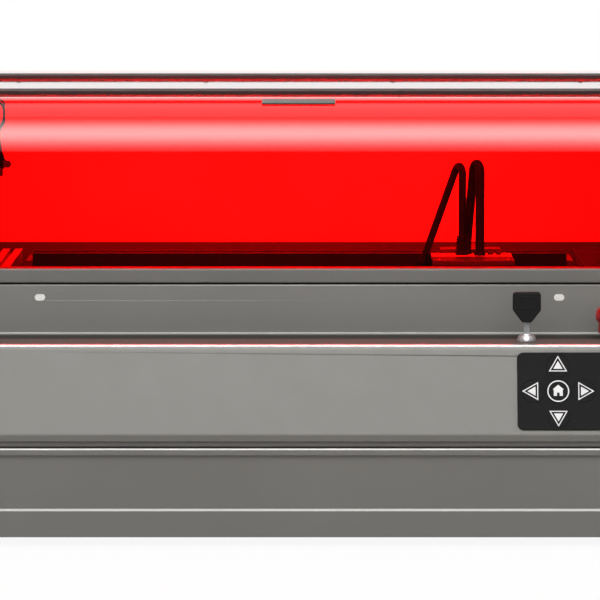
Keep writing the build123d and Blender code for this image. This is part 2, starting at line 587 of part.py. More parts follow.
with BuildPart() as y_drive_shaft:
    rods_x([(SHAFT_Y, SHAFT_Z)], SHAFT_R, -206, 206)
    for side in (-1, 1):
        y_pulley(side, SHAFT_Y)
save(y_drive_shaft, "y_drive_shaft")

with BuildPart() as belt_idlers:
    for side in (-1, 1):
        y_pulley(side, IDLER_Y)
        rods_x([(IDLER_Y, SHAFT_Z)], PIN_R + RUN,
               *span(side, PULLEY_X[0] - 1, PULLEY_X[1] + 1), Mode.SUBTRACT)
save(belt_idlers, "belt_idlers")

with BuildPart() as y_belts:
    for side in (-1, 1):
        belt_x = span(side, PULLEY_X[0] + BELT_INSET, PULLEY_X[1] - BELT_INSET)
        belt(Plane.YZ.offset(belt_x[0]), ((SHAFT_Y + IDLER_Y) / 2, SHAFT_Z), SHAFT_Y - IDLER_Y)
save(y_belts, "y_belts")

with BuildPart() as y_motor:
    slab(-18, 18, SHAFT_Y - 17.5, SHAFT_Y + 17.5, SHAFT_Z - 17.5, SHAFT_Z + 14)
    chamfer(y_motor.edges().filter_by(Axis.X), 3)
    slab(-18, 18, SHAFT_Y + 10, CHAMBER_BACK, SHAFT_Z - 12, SHAFT_Z + 12)
    rods_x([(SHAFT_Y, SHAFT_Z)], SHAFT_R + RUN, -18, 18, Mode.SUBTRACT)
save(y_motor, "y_motor")

# ---------------------------------------------------------------- gantry
with BuildPart() as x_beam:
    beam_x = (-BEAM_HALF_W, BEAM_HALF_W)
    slab(*beam_x, *BEAM_Y, *BEAM_Z)
    # grooves in the front, top and bottom
    middle_y, middle_z = sum(BEAM_Y) / 2, sum(BEAM_Z) / 2
    groove_y = (middle_y - 3, middle_y + 3)
    slab(*beam_x, BEAM_Y[0], BEAM_Y[0] + 4, middle_z - 3, middle_z + 3, Mode.SUBTRACT)
    slab(*beam_x, *groove_y, BEAM_Z[1] - 4, BEAM_Z[1], Mode.SUBTRACT)
    slab(*beam_x, *groove_y, BEAM_Z[0], BEAM_Z[0] + 4, Mode.SUBTRACT)
    # pin and plain pulley for the right end of the cross belt
    rods_y([(CROSS_X, CROSS_Z)], PIN_R, BEAM_Y[1], 139.4)
    rods_y([(CROSS_X, CROSS_Z)], PULLEY_R, *CROSS_Y)
save(x_beam, "x_beam")

with BuildPart() as gantry_carriages:
    for side in (-1, 1):
        slab(*span(side, BEAM_HALF_W, 186), 96, 140, 114, 141)
        # guide shoes running in the rail's inner groove
        for y in (98, 128):
            slab(*span(side, 186, RAIL_X[0] + 1.7), y, y + 10, 126.4, 131.6)
        slab(*span(side, PULLEY_X[0], BEAM_HALF_W), 112, 124, 113.4, BEAM_Z[0])
save(gantry_carriages, "gantry_carriages")

with BuildPart() as x_belt:
    belt(plane_y(CROSS_Y[0] + BELT_INSET), (0, -CROSS_Z), 2 * CROSS_X)
save(x_belt, "x_belt")

with BuildPart() as x_motor:
    slab(-178.5, -151.5, 140, 168, CROSS_Z - 13.5, CROSS_Z + 13.5)
    chamfer(x_motor.edges().filter_by(Axis.Y), 2.5)
    slab(-BEAM_HALF_W, -178.5, BEAM_Y[1], 168, CROSS_Z - 7.5, CROSS_Z + 11)
    rods_y([(-CROSS_X, CROSS_Z)], PIN_R + RUN, 140, 150, Mode.SUBTRACT)
save(x_motor, "x_motor")

with BuildPart() as x_drive_pulley:
    rods_y([(-CROSS_X, CROSS_Z)], PULLEY_R, *CROSS_Y)
    rods_y([(-CROSS_X, CROSS_Z)], FLANGE_R, CROSS_Y[0] - 0.8, CROSS_Y[0])
    rods_y([(-CROSS_X, CROSS_Z)], PIN_R, CROSS_Y[1], CROSS_Y[1] + 10)
save(x_drive_pulley, "x_drive_pulley")

# ---------------------------------------------------------------- head and laser module
PLATE_BACK = 103.6      # back of the carriage's front plate
ARM_Z = (145.4, 148.6)
with BuildPart() as head_carriage:
    plate_x = (MOD_X - 20.5, MOD_X + 20.5)
    slab(*plate_x, 97, PLATE_BACK, 112, ARM_Z[1])
    slab(*plate_x, PLATE_BACK, 114, *ARM_Z)
    slab(*plate_x, PLATE_BACK, 110, 112, 116.6)
    slab(MOD_X - 1.5, MOD_X + 1.5, PLATE_BACK, 107, 129.5, 132.5)
    # arm over the beam, and the clamp that grips the upper run of the cross belt
    run_top = CROSS_Z + BELT_R + BELT_T
    arm_x = (MOD_X - 6, MOD_X + 6)
    slab(*arm_x, 114, 140.6, *ARM_Z)
    slab(*arm_x, 132.5, 140.6, run_top + 0.1, ARM_Z[0])
    slab(*arm_x, 138.9, 140.6, run_top - 4.4, run_top + 0.1)
    slab(*arm_x, 133.2, 138.9, run_top - 4.4, run_top - BELT_T - 0.1)
save(head_carriage, "head_carriage")

with BuildPart() as laser_module_housing:
    slab(MOD_LEFT + 1, MOD_RIGHT - 1, 44, MOD_BACK, MOD_Z[0], MOD_Z[1] - 3)
    chamfer(laser_module_housing.edges().filter_by(Axis.Z), 2)
    slab(MOD_LEFT, MOD_RIGHT, 43, MOD_BACK, MOD_Z[1] - 3, MOD_Z[1])
    # gaps between the fins on both sides
    with BuildSketch(Plane.XY.offset(72)) as gaps:
        with Locations((MOD_LEFT + 3, MOD_Y), (MOD_RIGHT - 3, MOD_Y)):
            with GridLocations(1, 5, 1, 9):
                Rectangle(4.4, 2.2)
    extrude(to_extrude=gaps.sketch, amount=18, mode=Mode.SUBTRACT)
    # fan recess in the right side, with its pin
    rods_x([(MOD_Y, MOD_FAN_Z)], 19, MOD_RIGHT - 8, MOD_RIGHT, Mode.SUBTRACT)
    rods_x([(MOD_Y, MOD_FAN_Z)], FAN_PIN_R, MOD_RIGHT - 8, MOD_RIGHT - 2)
    # connector on the left side, below the far end of the first hose
    slab(77.5, MOD_LEFT + 3, 89, MOD_BACK, 120, 136)
save(laser_module_housing, "laser_module_housing")

with BuildPart() as module_fan_rotor:
    rods_x([(MOD_Y, MOD_FAN_Z)], 7, MOD_RIGHT - 7, MOD_RIGHT - 1.6)
    fan_blades(Vector(MOD_RIGHT - 4.3, MOD_Y, MOD_FAN_Z), Vector(0, 1, 0),
               root=6, chord=6, thickness=0.8, twist=35, length=12)
    rods_x([(MOD_Y, MOD_FAN_Z)], FAN_PIN_R + RUN, MOD_RIGHT - 8, MOD_RIGHT, Mode.SUBTRACT)
save(module_fan_rotor, "module_fan_rotor")

NOZZLE_H = 8
with BuildPart() as laser_nozzle:
    with BuildSketch(Plane.XY.offset(MOD_Z[0])) as top:
        with Locations((MOD_X, MOD_Y)):
            Circle(13)
    with BuildSketch(Plane.XY.offset(MOD_Z[0] - NOZZLE_H)) as tip:
        with Locations((MOD_X, MOD_Y)):
            Circle(6)
    loft([top.sketch, tip.sketch])
    rods_z([(MOD_X, MOD_Y)], 3, MOD_Z[0], MOD_Z[0] - NOZZLE_H, Mode.SUBTRACT)
save(laser_nozzle, "laser_nozzle")

# Each hose: straight up, one tight return bend, straight back down.
HOSES = (   # (up foot, up head, down head, down foot, bend reach, radius)
    ((110, 84, 146), (110, 84, 200), (105.3, 92.5, 202), (82.35, 93.5, 137), 6.4, 2.6),
    ((121.8, 80, 146), (121.8, 80, 201.4), (117.6, 91, 202), (113.02, 92.5, 146.35), 7.6, 3.2),
)
HOSE_BOSSES = (     # (X, Y, radius, height) on top of the module
    (110, 84, 4.6, 13), (121.8, 80, 3.9, 2.6), (113.02, 92.5, 3.9, 2.6))
with BuildPart() as module_hoses:
    for foot, head, back, end, reach, radius in HOSES:
        down = (Vector(*end) - Vector(*back)).normalized()
        with BuildLine() as path:
            Line(foot, head)
            Bezier(Vector(*head), Vector(*head) + Vector(0, 0, reach),
                   Vector(*back) - down * reach, Vector(*back))
            Line(back, end)
        with BuildSketch(Plane(origin=foot, z_dir=(0, 0, 1))) as section:
            Circle(radius)
        sweep(sections=section.sketch, path=path.wire())
    for x, y, radius, height in HOSE_BOSSES:
        rods_z([(x, y)], radius, MOD_Z[1], MOD_Z[1] + height)
save(module_hoses, "module_hoses")
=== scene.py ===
# Desktop laser cutter with a red acrylic lid: detailed meshes, procedural materials and a studio.
# The machine stands on z = 0 and faces -Y; +X is its right as seen from the front, +Z is up.
# Places are in mm and are turned into metres by MM, except where a comment says metres.
import bpy, bmesh, json, math
from mathutils import Vector, Matrix


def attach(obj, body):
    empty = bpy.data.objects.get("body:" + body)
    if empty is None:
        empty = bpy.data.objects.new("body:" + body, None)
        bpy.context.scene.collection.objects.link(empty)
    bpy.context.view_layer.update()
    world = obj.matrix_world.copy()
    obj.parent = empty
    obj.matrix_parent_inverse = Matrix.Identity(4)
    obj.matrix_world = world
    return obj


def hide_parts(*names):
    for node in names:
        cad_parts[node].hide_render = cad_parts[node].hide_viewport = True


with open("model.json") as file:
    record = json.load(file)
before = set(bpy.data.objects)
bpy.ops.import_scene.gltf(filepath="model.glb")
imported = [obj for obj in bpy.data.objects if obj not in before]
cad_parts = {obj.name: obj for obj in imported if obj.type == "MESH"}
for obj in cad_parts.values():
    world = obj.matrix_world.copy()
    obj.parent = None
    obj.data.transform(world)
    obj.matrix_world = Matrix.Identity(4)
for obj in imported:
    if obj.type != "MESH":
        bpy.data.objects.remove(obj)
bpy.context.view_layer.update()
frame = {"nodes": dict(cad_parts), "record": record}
NODES = frame["nodes"]
MM = 0.001
COLLECTION = bpy.context.scene.collection
WHITE = (1, 1, 1, 1)


# ------------------------------------------------------------------ node helper
class Graph:
    """A node tree with short calls for the nodes that the looks share."""
    def __init__(self, owner, output="ShaderNodeOutputMaterial", coords="Object"):
        owner.use_nodes = True
        self.owner, self.tree = owner, owner.node_tree
        self.tree.nodes.clear()
        self.out = self.add(output)
        self.coord = self.add("ShaderNodeTexCoord").outputs[coords]

    def add(self, kind, **inputs):
        """New node; an underscore in an input's name stands for a space."""
        node = self.tree.nodes.new(kind)
        for key, value in inputs.items():
            self.put(node, key.replace("_", " "), value)
        return node

    def put(self, node, key, value):
        socket = node.inputs[key]
        if isinstance(value, bpy.types.NodeSocket):
            self.tree.links.new(value, socket)
        else:
            socket.default_value = value

    def put_all(self, node, values):
        """Fills the node's first inputs in order."""
        for i, value in enumerate(values):
            self.put(node, i, value)

    def stretched(self, scale):
        return self.add("ShaderNodeMapping", Vector=self.coord, Scale=scale).outputs[0]

    def noise(self, scale, detail, rough=0.5, vector=None):
        return self.add("ShaderNodeTexNoise", Scale=scale, Detail=detail, Roughness=rough,
                        Vector=vector or self.coord).outputs["Fac"]

    def remap(self, value, span, to=(0.0, 1.0)):
        node = self.add("ShaderNodeMapRange")
        self.put_all(node, (value, *span, *to))
        return node.outputs[0]

    def math(self, operation, a, b=0.0):
        node = self.add("ShaderNodeMath")
        node.operation = operation
        self.put_all(node, (a, b))
        return node.outputs[0]

    def times(self, a, b):
        return self.math("MULTIPLY", a, b)

    def vector_math(self, operation, *vectors):
        node = self.add("ShaderNodeVectorMath")
        node.operation = operation
        self.put_all(node, vectors)
        return node.outputs["Value"]

    def separate(self, vector):
        return self.add("ShaderNodeSeparateXYZ", Vector=vector).outputs

    def mix(self, factor, a, b, blend="MIX"):
        node = self.add("ShaderNodeMix")
        node.data_type, node.blend_type = "RGBA", blend
        for key, value in ((0, factor), (6, a), (7, b)):    # 6 and 7 are the colour inputs
            self.put(node, key, value)
        return node.outputs[2]

    def mix_shader(self, factor, a, b):
        node = self.add("ShaderNodeMixShader")
        self.put_all(node, (factor, a, b))
        return node.outputs[0]

    def bump(self, height, strength, depth, normal=None):
        node = self.add("ShaderNodeBump", Strength=strength, Distance=depth, Height=height)
        if normal is not None:
            self.put(node, "Normal", normal)
        return node.outputs[0]

    def rounded_normal(self, radius):
        node = self.add("ShaderNodeBevel", Radius=radius)
        node.samples = 4
        return node.outputs[0]

    def edge_mask(self, rounded):
        """0..1 mask of convex and concave edges, where the rounded normal leaves the true one."""
        true = self.add("ShaderNodeNewGeometry").outputs["Normal"]
        return self.remap(self.vector_math("DOT_PRODUCT", rounded, true), span=(0.995, 0.88))

    def finish(self, shader):
        self.tree.links.new(shader, self.out.inputs["Surface"])
        return self.owner


# ------------------------------------------------------------------ material builders
MATERIALS = {}
MIDDLE = (0.3, 0.7)         # where most of a noise's values lie
MASK_BLUR = 0.0004          # half width of a masked colour border, m
FOLD_Y = -0.186             # where the painted shadow on the console's level top deepens towards the panel, m
PAINTED_HIGHLIGHT_GREY = (0.62, 0.615, 0.60, 1)


def new_graph(name, coords="Object"):
    return Graph(bpy.data.materials.new(name), coords=coords)


def srgb(*levels):
    """sRGB 0-255 to linear."""
    def linear(c):
        c /= 255.0
        return c / 12.92 if c <= 0.04045 else ((c + 0.055) / 1.055) ** 2.4
    return (*map(linear, levels), 1.0)


def shade(colour, factor, lift=0.0):
    return tuple(min(1.0, c * factor + lift) for c in colour[:3]) + (1,)


def colour_below(g, axis, limit, base, other):
    """The other colour where the coordinate is under the limit."""
    place = g.separate(g.coord)[axis]
    mask = g.remap(place, span=(limit - MASK_BLUR, limit + MASK_BLUR), to=(1.0, 0.0))
    return g.mix(mask, base, other)


def folded_sheet(g, colour, rough, spec, front, back, painted_highlight):
    """Painted shade dims level faces; bends are smoother and more specular, with a painted
    highlight: (colour, roughness, specular).
    """
    normal_z = g.separate(g.add("ShaderNodeNewGeometry").outputs["Normal"])["Z"]
    y = g.separate(g.coord)["Y"]
    level = g.remap(normal_z, span=(0.985, 0.998))
    painted_shade = g.remap(y, span=(FOLD_Y - 0.0015, FOLD_Y + 0.0015), to=(front, back))
    # painted shade: level faces get darker, by front before FOLD_Y and by back behind it
    colour = g.mix(1.0, colour, g.mix(level, WHITE, painted_shade), blend="MULTIPLY")
    not_level = g.math("SUBTRACT", 1.0, level)
    bend = g.times(g.remap(normal_z, span=(0.55, 0.72)), g.math("SUBTRACT", 1.0, level))
    rough = g.math("SUBTRACT", rough, g.times(bend, 0.14))
    if painted_highlight:                # painted highlight: a thin lighter line along a fold
        # painted highlight: lighter grey mixed in along the bends
        colour = g.mix(g.times(bend, painted_highlight), colour, PAINTED_HIGHLIGHT_GREY)
    return colour, rough, g.math("ADD", g.times(bend, 0.5), g.times(not_level, spec))


def coated(name, colour, rough=0.5, metal=0.0, var=0.05, rough_var=0.08,
           grain=(2500, 0.12, 0.00006), bevel=0.0005, wear=0.3, wear_col=None, spec=0.5,
           coat=0.0, stretch=None, split=None, sheen=0.0, ledge=None, front=None):
    """Solid finish with three sizes of mottling, fine grain and worn edges.

    var, rough_var: spread of colour and roughness
    grain: noise scale, bump strength, bump depth in m; stretch: grain scale per axis
    bevel: shaded edge radius in m; wear, wear_col: amount and colour of edge wear
    split, front: (limit in m, colour) for what lies below it in Z, or before it in Y
    ledge: painted shade on level faces before and behind FOLD_Y, amount of painted highlight on the
    bends
    """
    g = new_graph(name)
    grain_scale, grain_strength, grain_depth = grain
    vector = g.stretched(stretch) if stretch else g.coord
    big = g.noise(scale=7.0, detail=4.0, rough=0.6)
    mid = g.noise(scale=75.0, detail=5.0, rough=0.65)
    fine = g.noise(scale=grain_scale, detail=2.0, vector=vector)
    c = g.mix(g.remap(big, span=MIDDLE), shade(colour, 1 - var), shade(colour, 1 + var))
    spots = g.times(g.remap(mid, span=(0.45, 0.75)), 0.35)
    c = g.mix(spots, c, shade(colour, 1 - 1.5 * var))
    flecks = g.times(g.remap(fine, span=(0.35, 0.7)), 0.25)
    c = g.mix(flecks, c, shade(colour, 1 + 2 * var))
    r = g.math("ADD", g.remap(mid, span=MIDDLE, to=(rough - rough_var, rough + rough_var)),
               g.remap(big, span=MIDDLE, to=(-rough_var * 0.5, rough_var * 0.5)))
    if split:
        c = colour_below(g, "Z", split[0], c, split[1])
    if front:
        c = colour_below(g, "Y", front[0], c, front[1])
    if ledge:
        c, r, spec = folded_sheet(g, c, r, spec, *ledge)
    normal = None
    if bevel:
        normal = g.rounded_normal(bevel)
        if wear:
            patches = g.remap(g.noise(scale=320.0, detail=4.0, rough=0.7),
                              span=(0.42, 0.62), to=(0.15, 1.0))
            worn = g.times(g.times(g.edge_mask(normal), patches), wear)
            c = g.mix(worn, c, wear_col or shade(colour, 1.9, lift=0.03))
            r = g.math("SUBTRACT", r, g.times(worn, 0.15))
    normal = g.bump(fine, strength=grain_strength, depth=grain_depth, normal=normal)
    surface = g.add("ShaderNodeBsdfPrincipled", Base_Color=c, Metallic=metal, Roughness=r,
                    Normal=normal, Specular_IOR_Level=spec, Coat_Weight=coat,
                    Coat_Roughness=0.12, Sheen_Weight=sheen)
    MATERIALS[name] = g.finish(surface.outputs[0])


# emission that stands in for light: a painted glow on a part that is no lamp
def painted_glow(name, colour, power):
    g = new_graph(name)
    speckle = g.mix(g.noise(scale=400.0, detail=2.0), colour, shade(colour, 0.93))
    rough = g.remap(g.noise(scale=90.0, detail=3.0), span=MIDDLE, to=(0.18, 0.3))
    surface = g.add("ShaderNodeBsdfPrincipled", Base_Color=speckle, Roughness=rough,
                    Emission_Color=colour, Emission_Strength=power, Coat_Weight=0.5)
    MATERIALS[name] = g.finish(surface.outputs[0])


def clear_acrylic(name):
    """Clear tinted sheet: light passes straight through, tinted, under a polished skin."""
    g = new_graph(name)
    haze = g.noise(scale=9.0, detail=4.0, rough=0.6)
    scratch = g.noise(scale=260.0, detail=6.0, rough=0.75, vector=g.stretched((1.0, 0.12, 0.12)))
    waves = g.bump(g.noise(scale=14.0, detail=2.0), strength=0.05, depth=0.0004)
    normal = g.bump(scratch, strength=0.02, depth=0.00003, normal=waves)
    tint = g.mix(g.remap(haze, span=MIDDLE), (0.986, 0.040, 0.036, 1), (0.991, 0.034, 0.031, 1))
    clear = g.add("ShaderNodeBsdfTransparent", Color=tint)
    gloss = g.add("ShaderNodeBsdfPrincipled", Base_Color=(1.0, 0.96, 0.96, 1), Metallic=1.0,
                  Roughness=g.remap(scratch, span=MIDDLE, to=(0.03, 0.09)), Normal=normal)
    fresnel = g.add("ShaderNodeFresnel", IOR=1.49, Normal=normal)
    backfacing = g.add("ShaderNodeNewGeometry").outputs["Backfacing"]
    mirror = g.times(fresnel.outputs[0], g.math("SUBTRACT", 1.0, backfacing))
    MATERIALS[name] = g.finish(g.mix_shader(mirror, clear.outputs[0], gloss.outputs[0]))


# ------------------------------------------------------------------ materials
GREY = srgb(104, 103, 99)
SHEET_PAINT = dict(rough=0.38, var=0.03, rough_var=0.05, grain=(1900, 0.22, 0.00009), spec=0.32)

coated("grey_paint", GREY, bevel=0.0011, wear=0.2, **SHEET_PAINT)
coated("dark_paint", srgb(52, 52, 53), rough=0.6, grain=(1700, 0.25, 0.0001))
coated("light_liner", (0.93, 0.93, 0.925, 1), rough=0.55, var=0.015,
       grain=(1700, 0.2, 0.00008), wear=0.0, split=(0.1458, srgb(66, 66, 66)))
coated("black_plastic", srgb(38, 38, 39), rough=0.48, grain=(1300, 0.35, 0.00012),
       bevel=0.0004, wear=0.2)
coated("keypad_black", srgb(29, 29, 29), rough=0.7, var=0.02, grain=(3200, 0.12, 0.00003),
       bevel=0.00025, wear=0.08, spec=0.05)
# sensor lens with a painted glow; it is no lamp
painted_glow("white_lens", srgb(226, 224, 219), power=0.08)
coated("white_ink", srgb(206, 206, 206), rough=0.6, var=0.01, grain=(4000, 0.1, 0.00002),
       bevel=0.0, wear=0.0)
coated("red_plastic", srgb(138, 5, 7), rough=0.3, grain=(900, 0.1, 0.00006), wear=0.2, coat=0.5)
coated("chrome_lock", (0.86, 0.86, 0.87, 1), rough=0.10, metal=1.0, var=0.02, rough_var=0.04,
       grain=(1500, 0.05, 0.00002), wear=0.0)
coated("rubber_black", srgb(30, 30, 30), rough=0.85, grain=(1100, 0.5, 0.0002), wear=0.1,
       sheen=0.2)
coated("aluminium_rail", (0.80, 0.80, 0.81, 1), rough=0.36, metal=1.0, var=0.04,
       grain=(1200, 0.25, 0.00005), stretch=(1.0, 0.05, 1.0))
coated("aluminium_plate", (0.82, 0.82, 0.82, 1), rough=0.5, metal=0.35, var=0.04,
       grain=(1500, 0.25, 0.00006))
coated("aluminium_black", srgb(58, 58, 60), rough=0.42, metal=0.3, var=0.06,
       grain=(1400, 0.25, 0.00006), stretch=(0.06, 1.0, 1.0), bevel=0.0004, wear=0.45,
       wear_col=(0.5, 0.5, 0.5, 1))
coated("steel_zinc", (0.68, 0.68, 0.67, 1), rough=0.32, metal=1.0, var=0.08,
       grain=(700, 0.2, 0.00006))
coated("steel_shaft", (0.72, 0.72, 0.73, 1), rough=0.2, metal=1.0, var=0.04,
       grain=(1500, 0.12, 0.00003), stretch=(1.0, 0.05, 0.05), wear=0.2)
coated("belt_rubber", srgb(34, 34, 34), rough=0.75, grain=(1600, 0.5, 0.00015), wear=0.1,
       sheen=0.15)
coated("board_green", srgb(14, 92, 48), rough=0.35, var=0.12, grain=(500, 0.2, 0.00008),
       wear_col=(0.6, 0.5, 0.3, 1))
coated("brass_tip", (0.75, 0.56, 0.28, 1), rough=0.25, metal=1.0, var=0.06,
       grain=(1200, 0.15, 0.00004))
clear_acrylic("red_acrylic")
# lighter copy of the grey paint: painted light on the upper front panel, with a painted highlight
# along its foot fold
coated("panel_paint", srgb(119, 118, 114), bevel=0.0004, wear=0.15, ledge=(1.0, 1.0, 0.6),
       **SHEET_PAINT)
# grey paint with a painted highlight along the drawer front's folds
coated("drawer_paint", GREY, bevel=0.0005, wear=0.15, ledge=(1.0, 1.0, 1.0), **SHEET_PAINT)
# slightly darker copy of the grey paint, painted shade, with painted shade on its level top that is
# darkest behind FOLD_Y
coated("console_paint", srgb(101, 100, 96), bevel=0.0008, wear=0.15, ledge=(0.9, 0.52, 0.0),
       **SHEET_PAINT)
# much darker copy of the grey paint: painted shade on the pull tab
coated("tab_paint", srgb(52, 47, 44), bevel=0.0003, wear=0.05,
       **{**SHEET_PAINT, "rough": 0.7, "spec": 0.05})
coated("bow_black", srgb(21, 21, 21), rough=0.6, var=0.03, grain=(1300, 0.3, 0.0001),
       bevel=0.0004, wear=0.15, spec=0.12)
coated("strip_black", srgb(50, 34, 33), rough=0.6, grain=(1600, 0.2, 0.00006), bevel=0.0004,
       wear_col=srgb(110, 84, 82), spec=0.14)
coated("beam_dark", srgb(16, 16, 17), rough=0.6, var=0.06, grain=(1400, 0.25, 0.00006),
       stretch=(0.06, 1.0, 1.0), bevel=0.0004, wear_col=(0.08, 0.08, 0.08, 1), spec=0.1)
coated("hose_black", srgb(11, 11, 12), rough=0.55, grain=(1000, 0.3, 0.0001), bevel=0.0,
       wear=0.0, spec=0.15)
coated("module_alu", (0.82, 0.82, 0.82, 1), rough=0.5, metal=0.2, var=0.04,
       grain=(1500, 0.25, 0.00006), wear=0.2, split=(0.1448, srgb(70, 70, 72)),
       front=(0.074, srgb(44, 44, 45)))
coated("screw_dull", srgb(92, 86, 84), rough=0.6, grain=(900, 0.2, 0.00005), bevel=0.0,
       wear=0.0, spec=0.15)
# near-black stand-in for the shade in the gap under the lid
coated("gap_shade_black", srgb(20, 20, 20), rough=0.8, grain=(1100, 0.4, 0.0001), bevel=0.0,
       wear=0.0, spec=0.1)
coated("bright_steel", (0.52, 0.52, 0.53, 1), rough=0.3, metal=0.8, var=0.02, rough_var=0.04,
       grain=(1500, 0.05, 0.00002), wear=0.0)

# ------------------------------------------------------------------ CAD nodes: material and weld
# materials that replace a node's slot: own colours, and lighter and darker copies of the grey paint
# with painted light and shade
OWN_PAINT_AND_PAINTED_LIGHT = {
    "lid_cross_strips": "strip_black",
    "x_beam": "beam_dark",
    "upper_front_panel": "panel_paint",
    "drawer_front": "drawer_paint",
    "front_console": "console_paint",
    "lid_pull_tab": "tab_paint",
    "laser_module_housing": "module_alu",
}
SLOT_OF_NODE = {s["node"]: s["material_slot"] for s in frame["record"]["subparts"]}
for name, obj in NODES.items():
    obj.data.materials.clear()
    obj.data.materials.append(MATERIALS[OWN_PAINT_AND_PAINTED_LIGHT.get(name, SLOT_OF_NODE[name])])
    obj.modifiers.new("weld", "WELD").merge_threshold = 1e-6


def piece(name, mesh, body, material, replaces=None, smooth=False, weld=False, crease=None,
          bevel=None, bevel_segments=2):
    """Object from (verts, faces) in metres that rides on a body.

    crease: smooth shading with sharp edges above this angle in degrees; bevel: width in m
    """
    me = bpy.data.meshes.new(name)
    me.from_pydata([tuple(v) for v in mesh[0]], [], mesh[1])
    bm = bmesh.new()
    bm.from_mesh(me)
    if weld:
        bmesh.ops.remove_doubles(bm, verts=bm.verts, dist=1e-7)
    bmesh.ops.recalc_face_normals(bm, faces=bm.faces)
    bm.to_mesh(me)
    bm.free()
    for polygon in me.polygons:
        polygon.use_smooth = smooth
    obj = bpy.data.objects.new(name, me)
    COLLECTION.objects.link(obj)
    me.materials.append(MATERIALS[material])
    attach(obj, body)
    if crease:
        smooth_up_to(me, crease)
    if bevel:
        modifier = obj.modifiers.new("bevel", "BEVEL")
        modifier.width = bevel
        modifier.segments = bevel_segments
        modifier.limit_method = "ANGLE"
        modifier.angle_limit = math.radians(30)
    if replaces:
        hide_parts(replaces)


def smooth_up_to(me, angle):
    for polygon in me.polygons:
        polygon.use_smooth = True
    bm = bmesh.new()
    bm.from_mesh(me)
    for edge in bm.edges:
        if len(edge.link_faces) == 2 and edge.calc_face_angle(0) > math.radians(angle):
            edge.smooth = False
    bm.to_mesh(me)
    bm.free()


# ------------------------------------------------------------------ outlines in mm
def polar(radius, angle):
    return radius * math.cos(angle), radius * math.sin(angle)


def circle(radius, count=64):
    return [polar(radius, 2 * math.pi * k / count) for k in range(count)]


def triangle(w, h):
    return [(-w / 2, -h / 3), (w / 2, -h / 3), (0, 2 * h / 3)]


def box(x0, x1, y0, y1):
    return [(x0, y0), (x1, y0), (x1, y1), (x0, y1)]


def rounded(points, radii, seg=6):
    """Polygon with each corner rounded by its own radius."""
    out = []
    for i, (point, radius) in enumerate(zip(points, radii)):
        before, corner = Vector(points[i - 1]), Vector(point)
        after = Vector(points[(i + 1) % len(points)])
        if radius <= 0:
            out.append(tuple(corner))
            continue
        u, w = (before - corner).normalized(), (after - corner).normalized()
        half = math.acos(max(-1, min(1, u.dot(w)))) / 2
        reach = radius / math.tan(half)
        start, end = corner + u * reach, corner + w * reach
        mid = corner + (u + w).normalized() * (radius / math.sin(half))
        a0 = math.atan2(start.y - mid.y, start.x - mid.x)
        a1 = math.atan2(end.y - mid.y, end.x - mid.x)
        turn = (a1 - a0 + math.pi) % (2 * math.pi) - math.pi
        for k in range(seg + 1):
            a = a0 + turn * k / seg
            out.append((mid.x + radius * math.cos(a), mid.y + radius * math.sin(a)))
    return out


def round_box(x0, x1, y0, y1, radius, seg):
    return rounded(box(x0, x1, y0, y1), [radius] * 4, seg)


# ------------------------------------------------------------------ outline (x, y, height) to space
def lying(z, x0=0, y0=0):
    """Outline in XY, height along +Z."""
    return lambda x, y, h: Vector((x0 + x, y0 + y, z + h)) * MM


def upright(y0, x0=0, sign=1):
    """Outline in XZ, height along Y with the given sign."""
    return lambda x, y, h: Vector((x0 + x, y0 + sign * h, y)) * MM


def crosswise(x0):
    """Outline in YZ, height along +X."""
    return lambda x, y, h: Vector((x0 + h, x, y)) * MM


# ------------------------------------------------------------------ meshes: (verts, faces) in metres
def join(*parts):
    verts, faces = [], []
    for part_verts, part_faces in parts:
        start = len(verts)
        verts += part_verts
        faces += [tuple(i + start for i in face) for face in part_faces]
    return verts, faces


def prism(outline, to3d, height):
    n = len(outline)
    verts = [to3d(x, y, h) for h in (0, height) for x, y in outline]
    faces = [tuple(range(n))[::-1], tuple(range(n, 2 * n))]
    faces += [(i, (i + 1) % n, n + (i + 1) % n, n + i) for i in range(n)]
    return verts, faces


def ring_prism(outer, inner, to3d, height):
    n = len(outer)
    verts = [to3d(x, y, h) for line in (outer, inner) for h in (0, height) for x, y in line]
    faces = []
    for i in range(n):
        j = (i + 1) % n
        faces += [(i, j, n + j, n + i), (2 * n + j, 2 * n + i, 3 * n + i, 3 * n + j),
                  (n + i, n + j, 3 * n + j, 3 * n + i), (j, i, 2 * n + i, 2 * n + j)]
    return verts, faces


def blocks(*boxes):
    """Boxes, each given as (x0, x1, y0, y1, z0, z1) in mm."""
    faces = [(0, 1, 3, 2), (4, 6, 7, 5), (0, 4, 5, 1), (2, 3, 7, 6), (0, 2, 6, 4), (1, 5, 7, 3)]
    return join(*[([Vector((x, y, z)) * MM for x in b[:2] for y in b[2:4] for z in b[4:]], faces)
                  for b in boxes])


def revolve(profile, seg, x0, y0, ripple=None):
    """Profile of (radius, z) in metres turned about a vertical axis at x0, y0 in mm."""
    centre = Vector((x0 * MM, y0 * MM, 0))
    verts, faces = [], []
    n = len(profile)
    for k in range(seg):
        angle = 2 * math.pi * k / seg
        for radius, z in profile:
            r = radius * (ripple(angle, radius, z) if ripple else 1.0)
            verts.append(Vector((*polar(r, angle), z)) + centre)
    for k in range(seg):
        for j in range(n - 1):
            a, b = k * n + j, ((k + 1) % seg) * n + j
            faces.append((a, b, b + 1, a + 1))
    return verts, faces


def thread(count, top, pitch, crest, root):
    """Profile points of grooves going down from the top, metres."""
    out = []
    for i in range(count):
        z = top - i * pitch
        out += [(crest, z), (root, z - pitch / 2)]
    return out


